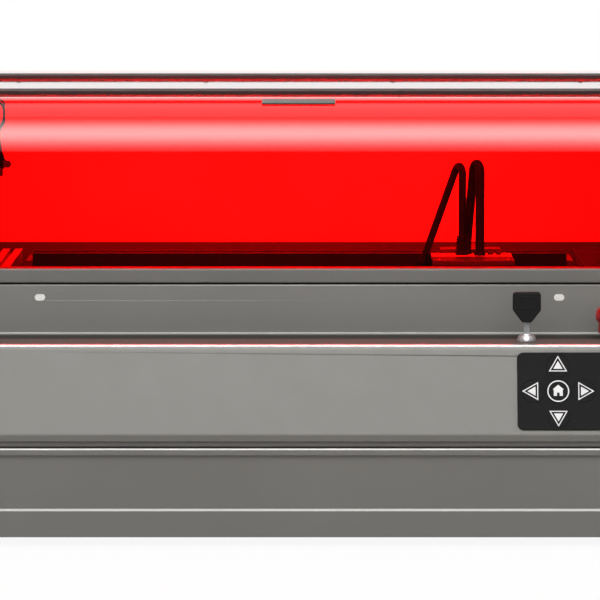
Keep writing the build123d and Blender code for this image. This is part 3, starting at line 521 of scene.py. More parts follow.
def smooth_path(points, steps=10):
    """Catmull-Rom through points in mm, in metres."""
    pts = [Vector(p) * MM for p in points]
    pts = [pts[0] * 2 - pts[1]] + pts + [pts[-1] * 2 - pts[-2]]
    out = []
    for i in range(1, len(pts) - 2):
        p0, p1, p2, p3 = pts[i - 1:i + 3]
        for k in range(steps):
            t = k / steps
            out.append(0.5 * ((2 * p1) + (-p0 + p2) * t + (2 * p0 - 5 * p1 + 4 * p2 - p3) * t * t
                              + (-p0 + 3 * p1 - 3 * p2 + p3) * t ** 3))
    out.append(pts[-2])
    return out


def resample(path, step):
    out, carry = [path[0]], 0.0
    for a, b in zip(path, path[1:]):
        length = (b - a).length
        s = step - carry
        while s <= length:
            out.append(a.lerp(b, s / length))
            s += step
        carry = length - (s - step)
    return out


def tube(path, radius, seg, pitch=None, depth=0.0, ends=True):
    """Tube along a path, all in metres. pitch and depth make corrugation rings."""
    if pitch:
        path = resample(path, pitch / 4)
    verts, faces = [], []
    first = (path[1] - path[0]).normalized()
    up = Vector((0, 1, 0)) if abs(first.y) < 0.9 else Vector((1, 0, 0))
    u = first.cross(up).normalized()
    for i, p in enumerate(path):
        along = (path[min(i + 1, len(path) - 1)] - path[max(i - 1, 0)]).normalized()
        u = (u - along * u.dot(along)).normalized()
        w = along.cross(u)
        r = radius - (depth * (0.0, 0.6, 1.0, 0.6)[i % 4] if pitch else 0.0)
        for k in range(seg):
            a = 2 * math.pi * k / seg
            verts.append(p + (u * math.cos(a) + w * math.sin(a)) * r)
    n = len(path)
    for i in range(n - 1):
        for k in range(seg):
            a, b = i * seg + k, i * seg + (k + 1) % seg
            faces.append((a, b, b + seg, a + seg))
    if ends:
        faces.append(tuple(range(seg))[::-1])
        faces.append(tuple((n - 1) * seg + k for k in range(seg)))
    return verts, faces


# ------------------------------------------------------------------ keypad symbols
FACE_LOW, FACE_HIGH = Vector((0, -231.4, 68.5)), Vector((0, -215.2, 117.6))
FACE_MID = (FACE_LOW + FACE_HIGH) / 2
FACE_UP = (FACE_HIGH - FACE_LOW).normalized()
FACE_OUT = Vector((0, -FACE_UP.z, FACE_UP.y))
PAD_X, PAD_REACH = 155.8, 15.3      # centre of the direction keys, distance out to each
START_X = 196.2
CAP_TOP = 1.25                      # above the console face
INK = 0.06


def on_face(cx, cy, turn=0.0):
    """Outline turned about a place on the sloping face, height outwards."""
    c, s = math.cos(turn), math.sin(turn)

    def to3d(x, y, h):
        across, up = cx + x * c - y * s, cy + x * s + y * c
        return (Vector((across, 0, 0)) + FACE_MID + FACE_UP * up + FACE_OUT * (CAP_TOP + h)) * MM
    return to3d


def symbol(name, to3d, ring, shapes):
    parts = [ring_prism(*ring, to3d, INK)] + [prism(shape, to3d, INK) for shape in shapes]
    piece("icon_" + name, join(*parts), "cap_" + name, "white_ink")


for name, x, y, turn in (("up", 0, PAD_REACH, 0), ("down", 0, -PAD_REACH, math.pi),
                         ("left", -PAD_REACH, 0, math.pi / 2),
                         ("right", PAD_REACH, 0, -math.pi / 2)):
    symbol(name, on_face(PAD_X + x, y, turn), ring=(triangle(11.2, 9.7), triangle(9.1, 7.88)),
           shapes=[triangle(5.6, 4.85)])

HOUSE = [(-2.7, -2.9), (-0.8, -2.9), (-0.8, -0.9), (0.8, -0.9), (0.8, -2.9), (2.7, -2.9),
         (2.7, 0.7), (3.3, 1.1), (0, 3.9), (-3.3, 1.1), (-2.7, 0.7)]
symbol("home", on_face(PAD_X, 0.0), ring=(circle(6.6), circle(5.9)), shapes=[HOUSE])
PLAY = [(-4.4, -3.6), (0.6, 0.0), (-4.4, 3.6)]
symbol("start", on_face(START_X, 0.0), ring=(circle(8.3), circle(7.3)),
       shapes=[PLAY, box(1.6, 2.8, -3.6, 3.6), box(4.0, 5.2, -3.6, 3.6)])

# ------------------------------------------------------------------ key: moulded bow, steel blade
LOCK_X, LOCK_Y = 138.2, -195.0
BOW_HALF = 2.6                      # half thickness
BLADE_HALF = 0.9
GRIP_Z = 144                        # middle of the raised rings on the bow

# outlines of x from the lock's centre, z
BOW = rounded([(-2.9, 132.0), (2.9, 132.0), (8.5, 139.3), (8.5, 150.3), (-8.5, 150.3),
               (-8.5, 139.3)], [0.6, 0.6, 2.0, 2.0, 2.0, 2.0])
BLADE = [(-1.8, 123.4), (1.8, 123.4), (1.8, 125.0), (1.45, 125.6), (1.8, 126.2), (1.8, 128.2),
         (1.35, 128.8), (1.8, 129.4), (1.8, 132.4), (-1.8, 132.4)]
# radius, z in metres
KEY_PLUG = [(0.0, 0.1102), (0.00295, 0.1102), (0.00295, 0.1240), (0.0027, 0.12425),
            (0.0, 0.12425)]

piece("key_bow", prism(BOW, upright(LOCK_Y - BOW_HALF, LOCK_X), 2 * BOW_HALF), "lock_key",
      "bow_black", replaces="key", weld=True, crease=40, bevel=0.0009, bevel_segments=3)
grip = round_box(-5.6, 5.6, 140.2, 147.8, radius=1.6, seg=6)
grip_inner = [(x * 0.86, GRIP_Z + (z - GRIP_Z) * 0.80) for x, z in grip]
grip_rings = [ring_prism(grip, grip_inner, upright(LOCK_Y + side * BOW_HALF, LOCK_X, side), 0.25)
              for side in (-1, 1)]
piece("key_bow_ribs", join(*grip_rings), "lock_key", "bow_black", replaces="key")
piece("key_blade",
      join(prism(BLADE, upright(LOCK_Y - BLADE_HALF, LOCK_X), 2 * BLADE_HALF),
           revolve(KEY_PLUG, 40, LOCK_X, LOCK_Y)),
      "lock_key", "bright_steel", replaces="key", weld=True, crease=30)

# key lock: domed collar ring over a threaded barrel; radius, z in metres
LOCK_COLLAR = [(0.0031, 0.1100), (0.0031, 0.1235), (0.0034, 0.1239), (0.0040, 0.1241),
               (0.0048, 0.1236), (0.0054, 0.1226), (0.0057, 0.1216), (0.0058, 0.1208),
               (0.0058, 0.1205), (0.0050, 0.1205), (0.0050, 0.1185), (0.0048, 0.1183)]
LOCK_FOOT = [(0.0044, 0.1040), (0.0031, 0.1040), (0.0031, 0.1100)]
lock_thread = thread(count=14, top=0.1180, pitch=0.0010, crest=0.0050, root=0.00465)
piece("key_lock_barrel",
      revolve(LOCK_COLLAR + lock_thread + LOCK_FOOT, 72, LOCK_X, LOCK_Y),
      "cabinet", "bright_steel", replaces="key_lock_body", weld=True, crease=50)
piece("key_lock_nut",
      ring_prism(circle(7.4, 6), circle(5.05, 6), lying(114.5, LOCK_X, LOCK_Y), 4.0),
      "cabinet", "steel_zinc", replaces="key_lock_body", weld=True, bevel=0.0004)

# ------------------------------------------------------------------ stop button
STOP_X, STOP_Y = 195.4, -188.0
# radius, z in metres
MUSHROOM = [(0.0, 0.1312), (0.00705, 0.1312), (0.00705, 0.1262), (0.0120, 0.1262),
            (0.0120, 0.1250), (0.0123, 0.1248), (0.0132, 0.1248), (0.0134, 0.1252),
            (0.0131, 0.1290), (0.0131, 0.1311), (0.0140, 0.1317), (0.0147, 0.1326),
            (0.0151, 0.1336), (0.0152, 0.1348), (0.0151, 0.1364), (0.0147, 0.1381),
            (0.0137, 0.1396), (0.0119, 0.1407), (0.0095, 0.1413), (0.0065, 0.1417),
            (0.003, 0.1418), (0.0, 0.1418)]
HOUSING_TOP = [(0.00705, 0.1020), (0.00705, 0.1216), (0.0075, 0.1217), (0.0109, 0.1217),
               (0.0113, 0.1214), (0.0115, 0.1210), (0.0115, 0.1205), (0.0080, 0.1205)]
HOUSING_FOOT = [(0.0076, 0.0980), (0.0, 0.0980), (0.0, 0.1020), (0.00705, 0.1020)]
GROOVES, GROOVE_DEPTH = 12, 0.022   # finger grooves round the rim, depth as part of the radius


def scallop(angle, radius, z):
    if radius < 0.009 or z > 0.1405 or z < 0.1325:
        return 1.0
    return 1.0 - GROOVE_DEPTH * (0.5 + 0.5 * math.cos(GROOVES * angle))


def on_dome(x, y, h):
    """Outline laid on the cap's top, which falls away from the middle."""
    z = 141.45 + (9.6 - math.hypot(x, y)) * 0.13 + h
    return Vector((STOP_X + x, STOP_Y + y, z)) * MM


def turn_arrow(start):
    tip = start + math.radians(60)
    angles = [start + math.radians(d) for d in range(0, 61, 6)]
    head = [polar(10.4, tip), polar(8.7, tip + 0.26), polar(7.0, tip)]
    outline = [polar(9.3, a) for a in angles] + head + [polar(8.1, a) for a in angles[::-1]]
    return prism(outline, on_dome, 0.12)


piece("estop_mushroom", revolve(MUSHROOM, 120, STOP_X, STOP_Y, ripple=scallop), "stop_cap",
      "red_plastic", replaces="estop_cap", weld=True, crease=50)
piece("estop_arrows", join(*[turn_arrow(2 * math.pi * k / 3) for k in range(3)]), "stop_cap",
      "white_ink")
housing_thread = thread(count=16, top=0.1185, pitch=0.0011, crest=0.0080, root=0.0076)
piece("estop_housing",
      revolve(HOUSING_TOP + housing_thread + HOUSING_FOOT, 80, STOP_X, STOP_Y),
      "cabinet", "black_plastic", replaces="estop_body", weld=True, crease=50)


# ------------------------------------------------------------------ screws
def screw_head(radius, height, seg=30):
    """Dome with a hexagonal socket, base at z 0, along +Z, metres."""
    socket = radius * 0.48
    dome = [(radius, 0.0), (radius, height * 0.25), (radius * 0.93, height * 0.6),
            (radius * 0.78, height * 0.88), (radius * 0.60, height)]
    verts, faces = [], []
    for k in range(seg):
        a = 2 * math.pi * k / seg
        verts += [Vector((*polar(r, a), z)) for r, z in dome]
        off_flat = (a % (math.pi / 3)) - math.pi / 6
        wall = socket * math.cos(math.pi / 6) / math.cos(off_flat)
        verts += [Vector((*polar(wall, a), z)) for z in (height, height * 0.35)]
    n = len(dome) + 2
    for k in range(seg):
        b = ((k + 1) % seg) * n
        for j in range(n - 1):
            faces.append((k * n + j, b + j, b + j + 1, k * n + j + 1))
    faces.append(tuple(k * n + n - 1 for k in range(seg)))
    faces.append(tuple(k * n for k in range(seg))[::-1])
    return verts, faces


def seat(mesh, origin, axis=(0, 0, 1)):
    """Turns local +Z to the axis and moves to the origin in mm."""
    turn = Vector(axis).normalized().to_track_quat("Z", "Y").to_matrix()
    return [turn @ v + Vector(origin) * MM for v in mesh[0]], mesh[1]


SIDE_X, REAR_Y = 282.45, 206.45     # outer faces of the side and rear panels
# y, z on each side panel
SIDE_SPOTS = [(-218, 30), (-120, 30), (40, 30), (190, 30), (190, 140), (190, 245), (-120, 200),
              (40, 245), (-190, 105)]
head = screw_head(0.0032, 0.0010)
heads = [seat(head, (side * SIDE_X, y, z), (side, 0, 0)) for y, z in SIDE_SPOTS
         for side in (1, -1)]
heads += [seat(head, (x, REAR_Y, z), (0, 1, 0)) for x in (-265, 265) for z in (22, 140, 252)]
piece("panel_screw_heads", join(*heads), "cabinet", "steel_zinc", replaces="panel_screws",
      crease=40)
head = screw_head(0.0016, 0.0006)
heads = [seat(head, (x, y, 267.4)) for y in (-99.4, 87.6) for x in (-189.4, -63.1, 63.1, 189.4)]
piece("strip_screw_heads", join(*heads), "lid", "screw_dull", replaces="lid_strip_screws",
      crease=40)


# ------------------------------------------------------------------ lid window: bent acrylic sheet
def bent_sheet(half_width, bend, thick, y_front, z_low, z_top, y_back, steps=72, edge=0.35):
    """Front, bend and top of a closed sheet with softened side edges; bend is the outer radius."""
    cy, cz = y_front + bend, z_top - bend

    def line(depth):
        """Points (y, z) at a depth under the outer skin."""
        r = bend - depth
        arc = [math.pi / 2 * k / steps for k in range(steps + 1)]
        return [(y_front + depth, z_low),
                *[(cy - r * math.cos(a), cz + r * math.sin(a)) for a in arc],
                (y_back, z_top - depth)]

    right, left = half_width, -half_width
    # x, depth round the sheet's cross-section
    section = [(left + edge, 0.0), (right - edge, 0.0), (right, edge), (right, thick - edge),
               (right - edge, thick), (left + edge, thick), (left, thick - edge), (left, edge)]
    verts = [Vector((x, y, z)) * MM for x, depth in section for y, z in line(depth)]
    count, n = len(section), steps + 3
    faces = []
    for i in range(count):
        j = (i + 1) % count
        faces += [(i * n + k, i * n + k + 1, j * n + k + 1, j * n + k) for k in range(n - 1)]
    faces.append(tuple(i * n for i in range(count)))
    faces.append(tuple(i * n + n - 1 for i in range(count))[::-1])
    return verts, faces


piece("lid_window_sheet",
      bent_sheet(half_width=272, bend=34.6, thick=3.0, y_front=-161, z_low=161.6, z_top=265.0,
                 y_back=196.0),
      "lid", "red_acrylic", replaces="lid_window", weld=True, crease=25)

# soft black gasket along the lid's front edge, inside the rail
gasket = [Vector((-262 + i * 4.0, -156.4, 153.2)) * MM for i in range(132)]
piece("lid_gasket", tube(gasket, 0.0007, 10), "lid", "rubber_black", smooth=True, weld=True)

# black strip on the front panel's top edge, under the lid: painted shade for the dark gap there
STRIP_HALF = 268
strip = rounded(box(-159.4, -152.2, 151.25, 152.3), [0.0, 0.0, 0.4, 0.4], 4)
piece("panel_gap_shade_strip", prism(strip, crosswise(-STRIP_HALF), 2.0 * STRIP_HALF), "cabinet",
      "gap_shade_black")


# ------------------------------------------------------------------ module hoses and boots
def hose_path(foot, head, back, end, reach):
    """Straight riser, a tight turn over the top and a straight fall; mm in, metres out.

    reach: how far the turn's control points stand off its two ends
    """
    foot, head, back, end = (Vector(p) for p in (foot, head, back, end))
    lead = head + (head - foot).normalized() * reach
    trail = back - (end - back).normalized() * reach
    pts = [foot.lerp(head, k / 12) for k in range(12)]
    for k in range(24):
        t = k / 24
        pts.append(head * (1 - t) ** 3 + lead * 3 * t * (1 - t) ** 2
                   + trail * 3 * t * t * (1 - t) + back * t ** 3)
    pts += [back.lerp(end, k / 20) for k in range(21)]
    return [p * MM for p in pts]


HOSE_X, HOSE_Y = 110, 84
SLEEVE_X, SLEEVE_Y = 121.8, 80
SLEEVE_END_X, SLEEVE_END_Y = 113.02, 92.5
FOOT_Z = 146.4
hose = hose_path(foot=(HOSE_X, HOSE_Y, FOOT_Z), head=(HOSE_X, HOSE_Y, 200),
                 back=(105.3, 92.5, 202), end=(82.35, 93.5, 137), reach=6.4)
piece("air_hose", tube(hose, 0.00255, 20), "module", "hose_black", replaces="module_hoses",
      smooth=True, weld=True)
sleeve = hose_path(foot=(SLEEVE_X, SLEEVE_Y, FOOT_Z), head=(SLEEVE_X, SLEEVE_Y, 201.4),
                   back=(117.6, 91, 202), end=(SLEEVE_END_X, SLEEVE_END_Y, 146.6), reach=7.6)
piece("module_cable_sleeve", tube(sleeve, 0.0032, 20, pitch=0.0009, depth=0.0002), "module",
      "hose_black", replaces="module_hoses", smooth=True, weld=True)

# boots at the hose feet: radius, z in metres
boot = [(0.0, 0.1460), (0.0044, 0.1460), (0.0046, 0.1464), (0.0046, 0.1486)]
for i in range(5):                  # ribs, each a little slimmer than the one below
    z = 0.1490 + i * 0.0017
    r = 0.0042 - i * 0.00012
    boot += [(r, z), (r + 0.0003, z + 0.0004), (r + 0.0003, z + 0.0010), (r - 0.0002, z + 0.0013)]
boot += [(0.0036, 0.1582), (0.0032, 0.1590), (0.0, 0.1590)]
piece("hose_boot", revolve(boot, 40, HOSE_X, HOSE_Y), "module", "hose_black", weld=True,
      crease=45)
LOW_BOOT = [(0.0, 0.1460), (0.0037, 0.1460), (0.0039, 0.1463), (0.0039, 0.1482),
            (0.0036, 0.1486), (0.0, 0.1486)]
piece("cable_boot",
      join(revolve(LOW_BOOT, 40, SLEEVE_X, SLEEVE_Y),
           revolve(LOW_BOOT, 40, SLEEVE_END_X, SLEEVE_END_Y)),
      "module", "hose_black", weld=True, crease=45)

# ------------------------------------------------------------------ module details
# two small plugs on the top plate
MODULE_PLUGS = blocks((127.5, 131.0, 84, 90, 146.0, 148.4), (133.0, 136.5, 84, 90, 146.0, 148.4),
                      (128.1, 130.4, 88, 91.5, 146.0, 149.6),
                      (133.6, 135.9, 88, 91.5, 146.0, 149.6))
piece("module_plugs", MODULE_PLUGS, "module", "black_plastic", bevel=0.0003)

# four screws in the top plate, four in the front face
head = screw_head(0.0016, 0.0009, 24)
heads = [seat(head, (x, y, 145.95)) for x in (93.6, 139.2) for y in (47.5, 92.0)]
head = screw_head(0.0016, 0.0008, 24)
heads += [seat(head, (x, 43.95, z), (0, -1, 0)) for x in (94, 138.8) for z in (74, 136)]
piece("module_screws", join(*heads), "module", "steel_zinc", crease=40)

# raised frame on the front face, with nine level ribs inside it
module_face = upright(44.0, sign=-1)
piece("module_front_frame",
      ring_prism(round_box(98, 134.8, 84, 128, radius=3, seg=8),
                 round_box(100, 132.8, 86, 126, radius=2, seg=8), module_face, 0.5),
      "module", "aluminium_black")
ribs = []
for i in range(9):
    z = 89.5 + i * 4.2
    ribs.append(prism(round_box(102, 130.8, z, z + 1.6, radius=0.7, seg=4), module_face, 0.45))
piece("module_front_ribs", join(*ribs), "module", "aluminium_black")

# ------------------------------------------------------------------ cable bundle on the left wall
# tube radius in metres, points in mm
WALL_CABLES = [
    (0.0008, [(-211, 60, 249), (-204.4, 70, 250.5), (-200.4, 78, 248.5), (-198.8, 80, 243),
              (-199.6, 80, 237), (-202.6, 80, 231), (-203.2, 82, 222), (-201.4, 84, 214),
              (-199.0, 86, 209.5)]),
    (0.0006, [(-211, 66, 252), (-203.4, 72, 252.5), (-198.8, 76, 249.5), (-199.0, 78, 243),
              (-198.6, 79, 236.5), (-202.0, 82, 230), (-202.4, 84, 220), (-200.2, 86, 213),
              (-199.6, 87.5, 208.5)]),
    (0.0019, [(-211, 84, 240), (-205.4, 84, 234), (-203.4, 86, 222), (-202.4, 88, 212),
              (-201.9, 89.5, 204)]),
    (0.0012, [(-211, 72, 243), (-204.4, 76, 238), (-202.8, 80, 226), (-203.0, 86, 214),
              (-202.2, 88, 206)]),
]
piece("wall_cables", join(*[tube(smooth_path(points), r, 12) for r, points in WALL_CABLES]),
      "cabinet", "hose_black", smooth=True)
WALL_PLUGS = blocks((-200.4, -195.8, 85, 90, 205.0, 209.6), (-205.0, -200.8, 87, 92, 199.2, 204.6),
                    (-196.4, -195.0, 86, 89, 206.0, 208.4))
piece("wall_cable_plugs", WALL_PLUGS, "cabinet", "black_plastic", bevel=0.0004)
WALL_CLIPS = blocks((-213, -205.5, 63, 67, 246, 248.2), (-213, -211.6, 60, 92, 234, 250),
                    (-213, -202.5, 80, 84, 221, 223.2))
piece("wall_cable_clips", WALL_CLIPS, "cabinet", "aluminium_black", bevel=0.0003)

# ------------------------------------------------------------------ honeycomb bed
BED_X, BED_Y0, BED_Y1 = 250, -210, 156      # opening: half width, front and rear
BED_Z, BED_HEIGHT = 30, 14.0
RIM = 12                                    # width of the frame round the opening
CELL, CELL_WALL = 9.0, 0.55


def honeycomb(z0, z1):
    """Open hexagonal tubes in staggered rows that fill the opening."""
    verts, faces = [], []
    corner = CELL / math.sqrt(3)
    inner = corner - CELL_WALL / math.sqrt(3)
    row, y = 0, BED_Y0 + corner + 0.2
    while y + corner <= BED_Y1:
        x = -BED_X + CELL / 2 + (CELL / 2 if row % 2 else 0)
        while x + CELL / 2 <= BED_X:
            k = len(verts)
            for z in (z0, z1):
                for r in (corner - 0.02, inner):
                    for s in range(6):
                        a = math.pi / 6 + s * math.pi / 3
                        verts.append(Vector((x + r * math.cos(a), y + r * math.sin(a), z)) * MM)
            for s in range(6):
                t = (s + 1) % 6
                faces += [(k + s, k + t, k + 12 + t, k + 12 + s),
                          (k + 6 + t, k + 6 + s, k + 18 + s, k + 18 + t),
                          (k + 12 + s, k + 12 + t, k + 18 + t, k + 18 + s),
                          (k + t, k + s, k + 6 + s, k + 6 + t)]
            x += CELL
        y += CELL * math.sqrt(3) / 2
        row += 1
    return verts, faces


piece("honeycomb_cells", honeycomb(30.2, 43.9), "drawer", "aluminium_rail",
      replaces="honeycomb_bed")
rim_outer = round_box(-BED_X - RIM, BED_X + RIM, BED_Y0 - RIM, BED_Y1 + RIM, radius=6, seg=8)
rim_inner = round_box(-BED_X, BED_X, BED_Y0, BED_Y1, radius=2, seg=8)
piece("honeycomb_rim", ring_prism(rim_outer, rim_inner, lying(BED_Z), BED_HEIGHT), "drawer",
      "aluminium_rail", replaces="honeycomb_bed", bevel=0.0006, bevel_segments=3)
screw_x = BED_X + RIM / 2
screw_ys = (BED_Y0 - RIM / 2, (BED_Y0 + BED_Y1) / 2, BED_Y1 + RIM / 2)
head = screw_head(0.0030, 0.0012, 24)
piece("bed_screws",
      join(*[seat(head, (x, y, 43.95)) for x in (-screw_x, screw_x) for y in screw_ys]),
      "drawer", "steel_zinc", crease=40)

# ------------------------------------------------------------------ toothed belts
PULLEY_RADIUS = 6.366
BELT_THICK, BELT_WIDTH = 1.4, 5.6
TOOTH_PITCH, TOOTH_CUT = 2.0, 0.7


def belt_loop(start, end):
    """Belt round pulleys at two centres: (outer outline, inner outline with teeth)."""
    start, end = Vector(start), Vector(end)
    length = (end - start).length
    half_turn = math.pi * PULLEY_RADIUS
    total = 2 * length + 2 * half_turn
    n = int(total / TOOTH_PITCH) * 4
    outer, inner = [], []
    along = (end - start).normalized()
    normal = Vector((-along.y, along.x))
    for i in range(n):
        s = total * i / n
        if s < length:
            c, out = start + along * s, normal
        elif s < length + half_turn:
            a = (s - length) / PULLEY_RADIUS
            c, out = end, normal * math.cos(a) + along * math.sin(a)
        elif s < 2 * length + half_turn:
            c, out = end - along * (s - length - half_turn), -normal
        else:
            a = (s - 2 * length - half_turn) / PULLEY_RADIUS
            c, out = start, -normal * math.cos(a) - along * math.sin(a)
        cut = TOOTH_CUT if i % 4 in (0, 1) else 0.0
        outer.append(tuple(c + out * (PULLEY_RADIUS + BELT_THICK)))
        inner.append(tuple(c + out * (PULLEY_RADIUS + 0.02 + cut)))
    return outer, inner


loop = belt_loop((-140, 105), (160, 105))
piece("toothed_belts_y",
      join(*[ring_prism(*loop, crosswise(x), BELT_WIDTH) for x in (172.2, -177.8)]),
      "cabinet", "belt_rubber", replaces="y_belts")
loop = belt_loop((-165, 127.5), (165, 127.5))
piece("toothed_belt_x", ring_prism(*loop, upright(133.2), BELT_WIDTH), "gantry", "belt_rubber",
      replaces="x_belt")

# black dust cover lying along the right-hand rail, clear of the carriage
cover = round_box(188.6, 209.5, -148, 170, radius=2.0, seg=4)
piece("rail_dust_cover", prism(cover, lying(142.3), 1.2), "cabinet", "beam_dark", bevel=0.0003)

# ------------------------------------------------------------------ finger guard, exhaust collar
GUARD_Z = 190


def guard_point(radius, angle, y):
    return Vector((radius * math.cos(angle), y, GUARD_Z + radius * math.sin(angle))) * MM


wires = []
for radius in (12, 20, 28, 36, 44):
    ring = [guard_point(radius, 2 * math.pi * k / 72, 210.5) for k in range(73)]
    wires.append(tube(ring, 0.0008, 8, ends=False))
for k in range(4):
    angle = math.pi / 4 + k * math.pi / 2
    spoke = [guard_point(radius, angle, 211.6) for radius in (11, 22, 33, 46.9)]
    wires.append(tube(spoke, 0.0009, 8))
piece("exhaust_finger_guard", join(*wires), "cabinet", "steel_zinc", smooth=True)

# ------------------------------------------------------------------ rubber feet
# radius, z in metres; a shallow groove runs round the side
FOOT = [(0.0, 0.0006), (0.006, 0.0006), (0.0065, 0.0), (0.0112, 0.0), (0.0125, 0.0010),
        (0.0130, 0.0024), (0.0127, 0.0031), (0.0130, 0.0038), (0.0130, 0.0055),
        (0.0126, 0.0060), (0.0, 0.0060)]
feet = [revolve(FOOT, 56, x, y) for x in (-240, 240) for y in (-195, 180)]
piece("rubber_foot_pads", join(*feet), "cabinet", "rubber_black", replaces="rubber_feet",
      crease=45)


# ------------------------------------------------------------------ stage, in metres
def staged(name, half_x, half_y, material):
    """Flat rectangle about its own origin, facing +Z."""
    me = bpy.data.meshes.new(name)
    corners = [(x, y, 0) for x, y in box(-half_x, half_x, -half_y, half_y)]
    me.from_pydata(corners, [], [(0, 1, 2, 3)])
    me.materials.append(material)
    obj = bpy.data.objects.new(name, me)
    COLLECTION.objects.link(obj)
    return obj


def floor_material():
    """Nearly pure white to the camera, fading out far from the machine."""
    g = new_graph("floor")
    tone = g.mix(g.noise(scale=2.0, detail=3.0), (0.93, 0.93, 0.93, 1), (0.96, 0.96, 0.96, 1))
    lit = g.add("ShaderNodeBsdfPrincipled", Base_Color=tone, Roughness=0.8)
    white = g.add("ShaderNodeEmission", Color=WHITE, Strength=1.0)
    seen = g.times(g.add("ShaderNodeLightPath").outputs["Is Camera Ray"], 0.92)
    near = g.mix_shader(seen, lit.outputs[0], white.outputs[0])
    far = g.remap(g.vector_math("LENGTH", g.coord), span=(1.3, 2.8))
    clear = g.add("ShaderNodeBsdfTransparent")
    return g.finish(g.mix_shader(far, near, clear.outputs[0]))


floor = staged("floor", 40, 40, floor_material())
floor.visible_glossy = False

# softbox seen only in reflections: bright in the middle, fading to its long edges
BOX_AIM = Vector((0, -0.13, 0.24))
BOX_DISTANCE, BOX_RISE = 3.2, math.radians(44)
BOX_WIDTH = 2.6
BOX_HALF = math.tan(math.radians(38))   # half height at unit distance
BOX_FADE = math.radians(16)             # spread of the bell-shaped brightness
BOX_STRENGTH = 11.3


def softbox_material():
    g = new_graph("softbox", coords="Generated")
    height = g.math("SUBTRACT", g.separate(g.coord)["Y"], 0.5)
    angle = g.math("ARCTANGENT", g.times(height, 2 * BOX_HALF))
    off = g.math("DIVIDE", angle, BOX_FADE)
    fall = g.math("EXPONENT", g.times(g.times(off, off), -0.5))
    glow = g.add("ShaderNodeEmission", Color=(1, 0.995, 0.985, 1),
                 Strength=g.times(fall, BOX_STRENGTH))
    return g.finish(glow.outputs[0])


softbox = staged("softbox_front", BOX_WIDTH / 2, BOX_DISTANCE * BOX_HALF, softbox_material())
centre = Vector((0, BOX_AIM.y - BOX_DISTANCE * math.cos(BOX_RISE),
                 BOX_AIM.z + BOX_DISTANCE * math.sin(BOX_RISE)))
facing = (BOX_AIM - centre).normalized()
across = Vector((1, 0, 0))
down = facing.cross(across).normalized()
turn = Matrix((across, -down, facing)).transposed().to_4x4()
softbox.matrix_world = Matrix.Translation(centre) @ turn
for ray in ("camera", "diffuse", "transmission", "shadow", "volume_scatter"):
    setattr(softbox, "visible_" + ray, False)


# ------------------------------------------------------------------ lights
def area(name, at, aim, size, watts, glossy=False):
    light = bpy.data.lights.new(name, "AREA")
    light.shape = "RECTANGLE"
    light.size, light.size_y = size
    light.energy = watts
    obj = bpy.data.objects.new(name, light)
    obj.location = at
    obj.rotation_euler = (Vector(aim) - Vector(at)).to_track_quat("-Z", "Y").to_euler()
    obj.visible_glossy = glossy
    obj.visible_transmission = False
    COLLECTION.objects.link(obj)
    return obj


# name, place, aim, size, watts
ROOM_LIGHTS = [
    ("key_front_top", (0, -2.2, 2.3), (0, 0, 0.15), (3.0, 1.6), 58),
    ("fill_front", (0, -3.5, 0.5), (0, 0, 0.12), (4.0, 1.0), 16),
    ("side_left", (-3.0, -0.8, 1.2), (0, 0, 0.15), (1.6, 1.6), 26),
    ("side_right", (3.0, -0.8, 1.2), (0, 0, 0.15), (1.6, 1.6), 26),
    ("back_top", (0, 2.6, 1.8), (0, 0.1, 0.15), (3.0, 1.4), 36),
]
CHAMBER_LIGHTS = [
    ("chamber_down", (0, 0.01, 0.249), (0, 0.01, 0.0), (0.38, 0.28), 2.2),
    ("chamber_back", (0, -0.10, 0.222), (0, 0.182, 0.20), (0.40, 0.05), 1.5),
]
PAINTED_STEEL = ("front_console", "upper_front_panel", "drawer_front", "lid_front_rail",
                 "lid_side_frames", "left_side_panel", "right_side_panel", "lid_pull_tab")
for light in ROOM_LIGHTS:
    area(*light)
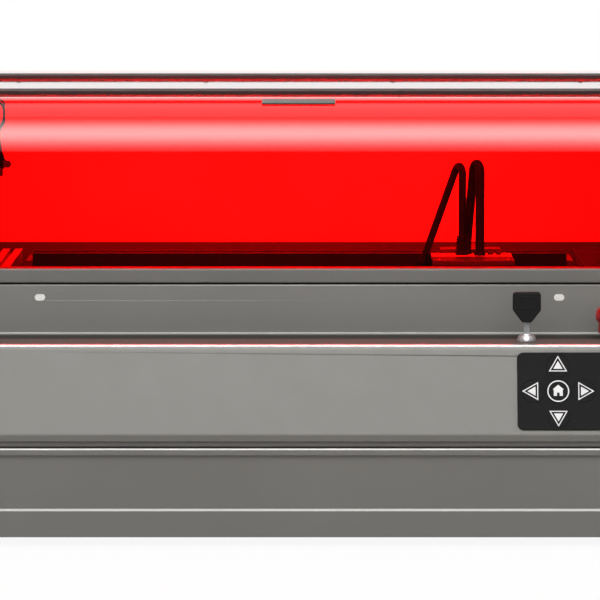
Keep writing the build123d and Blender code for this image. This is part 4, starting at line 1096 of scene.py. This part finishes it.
# overhead panel seen only as a highlight along the folded steel edges
edge_light = area("edge_light", at=(0, 1.02, 2.44), aim=(0, -0.2, 0.14), size=(3.4, 2.8),
                  watts=640, glossy=True)
edge_light.visible_diffuse = False
painted = bpy.data.collections.new("painted_steel")
for name in PAINTED_STEEL:
    painted.objects.link(NODES[name])
edge_light.light_linking.receiver_collection = painted
for light in CHAMBER_LIGHTS:
    area(*light)


# ------------------------------------------------------------------ world
def build_world():
    """White to the camera, soft fill for the rest, shaped brightness in reflections."""
    world = bpy.data.worlds.new("studio")
    bpy.context.scene.world = world
    g = Graph(world, output="ShaderNodeOutputWorld", coords="Generated")

    def background(strength):
        return g.add("ShaderNodeBackground", Color=WHITE, Strength=strength).outputs[0]

    way = g.separate(g.coord)
    # reflections: white low behind the machine, bright overhead, dark in front
    behind = g.times(g.remap(way["Y"], span=(0.0, 0.35)),
                     g.remap(way["Z"], span=(0.68, 0.52), to=(0.0, 1.16)))
    over = g.remap(way["Z"], span=(0.74, 0.88), to=(0.0, 1.45))
    sides = g.times(g.remap(g.math("ABSOLUTE", way["X"]), span=(0.55, 0.9), to=(0.0, 0.5)),
                    g.remap(way["Z"], span=(-0.05, 0.1)))
    shape = g.math("ADD", g.math("MAXIMUM", behind, over), sides)
    reflected = background(g.math("ADD", shape, 0.015))
    rays = g.add("ShaderNodeLightPath").outputs
    unseen = g.mix_shader(rays["Is Glossy Ray"], background(0.30), reflected)
    g.finish(g.mix_shader(rays["Is Camera Ray"], unseen, background(1.0)))


build_world()

# ------------------------------------------------------------------ camera and render
scene = bpy.context.scene
lens = bpy.data.cameras.new("camera")
lens.sensor_width = 36.0
lens.lens = 242.0
lens.clip_start, lens.clip_end = 0.05, 200.0
camera = bpy.data.objects.new("camera", lens)
camera.location = (0.0003, -2.633, 0.409)
camera.rotation_euler = (math.radians(90 - 6.17), 0, 0)     # looks slightly down
COLLECTION.objects.link(camera)
scene.camera = camera

scene.view_settings.view_transform = "Standard"
scene.view_settings.look = "None"
scene.cycles.max_bounces = 10
scene.cycles.transparent_max_bounces = 16
scene.cycles.glossy_bounces = 4
scene.cycles.diffuse_bounces = 4
scene.cycles.sample_clamp_indirect = 4.0
scene.cycles.blur_glossy = 0.5
scene.cycles.caustics_reflective = False
scene.cycles.caustics_refractive = False
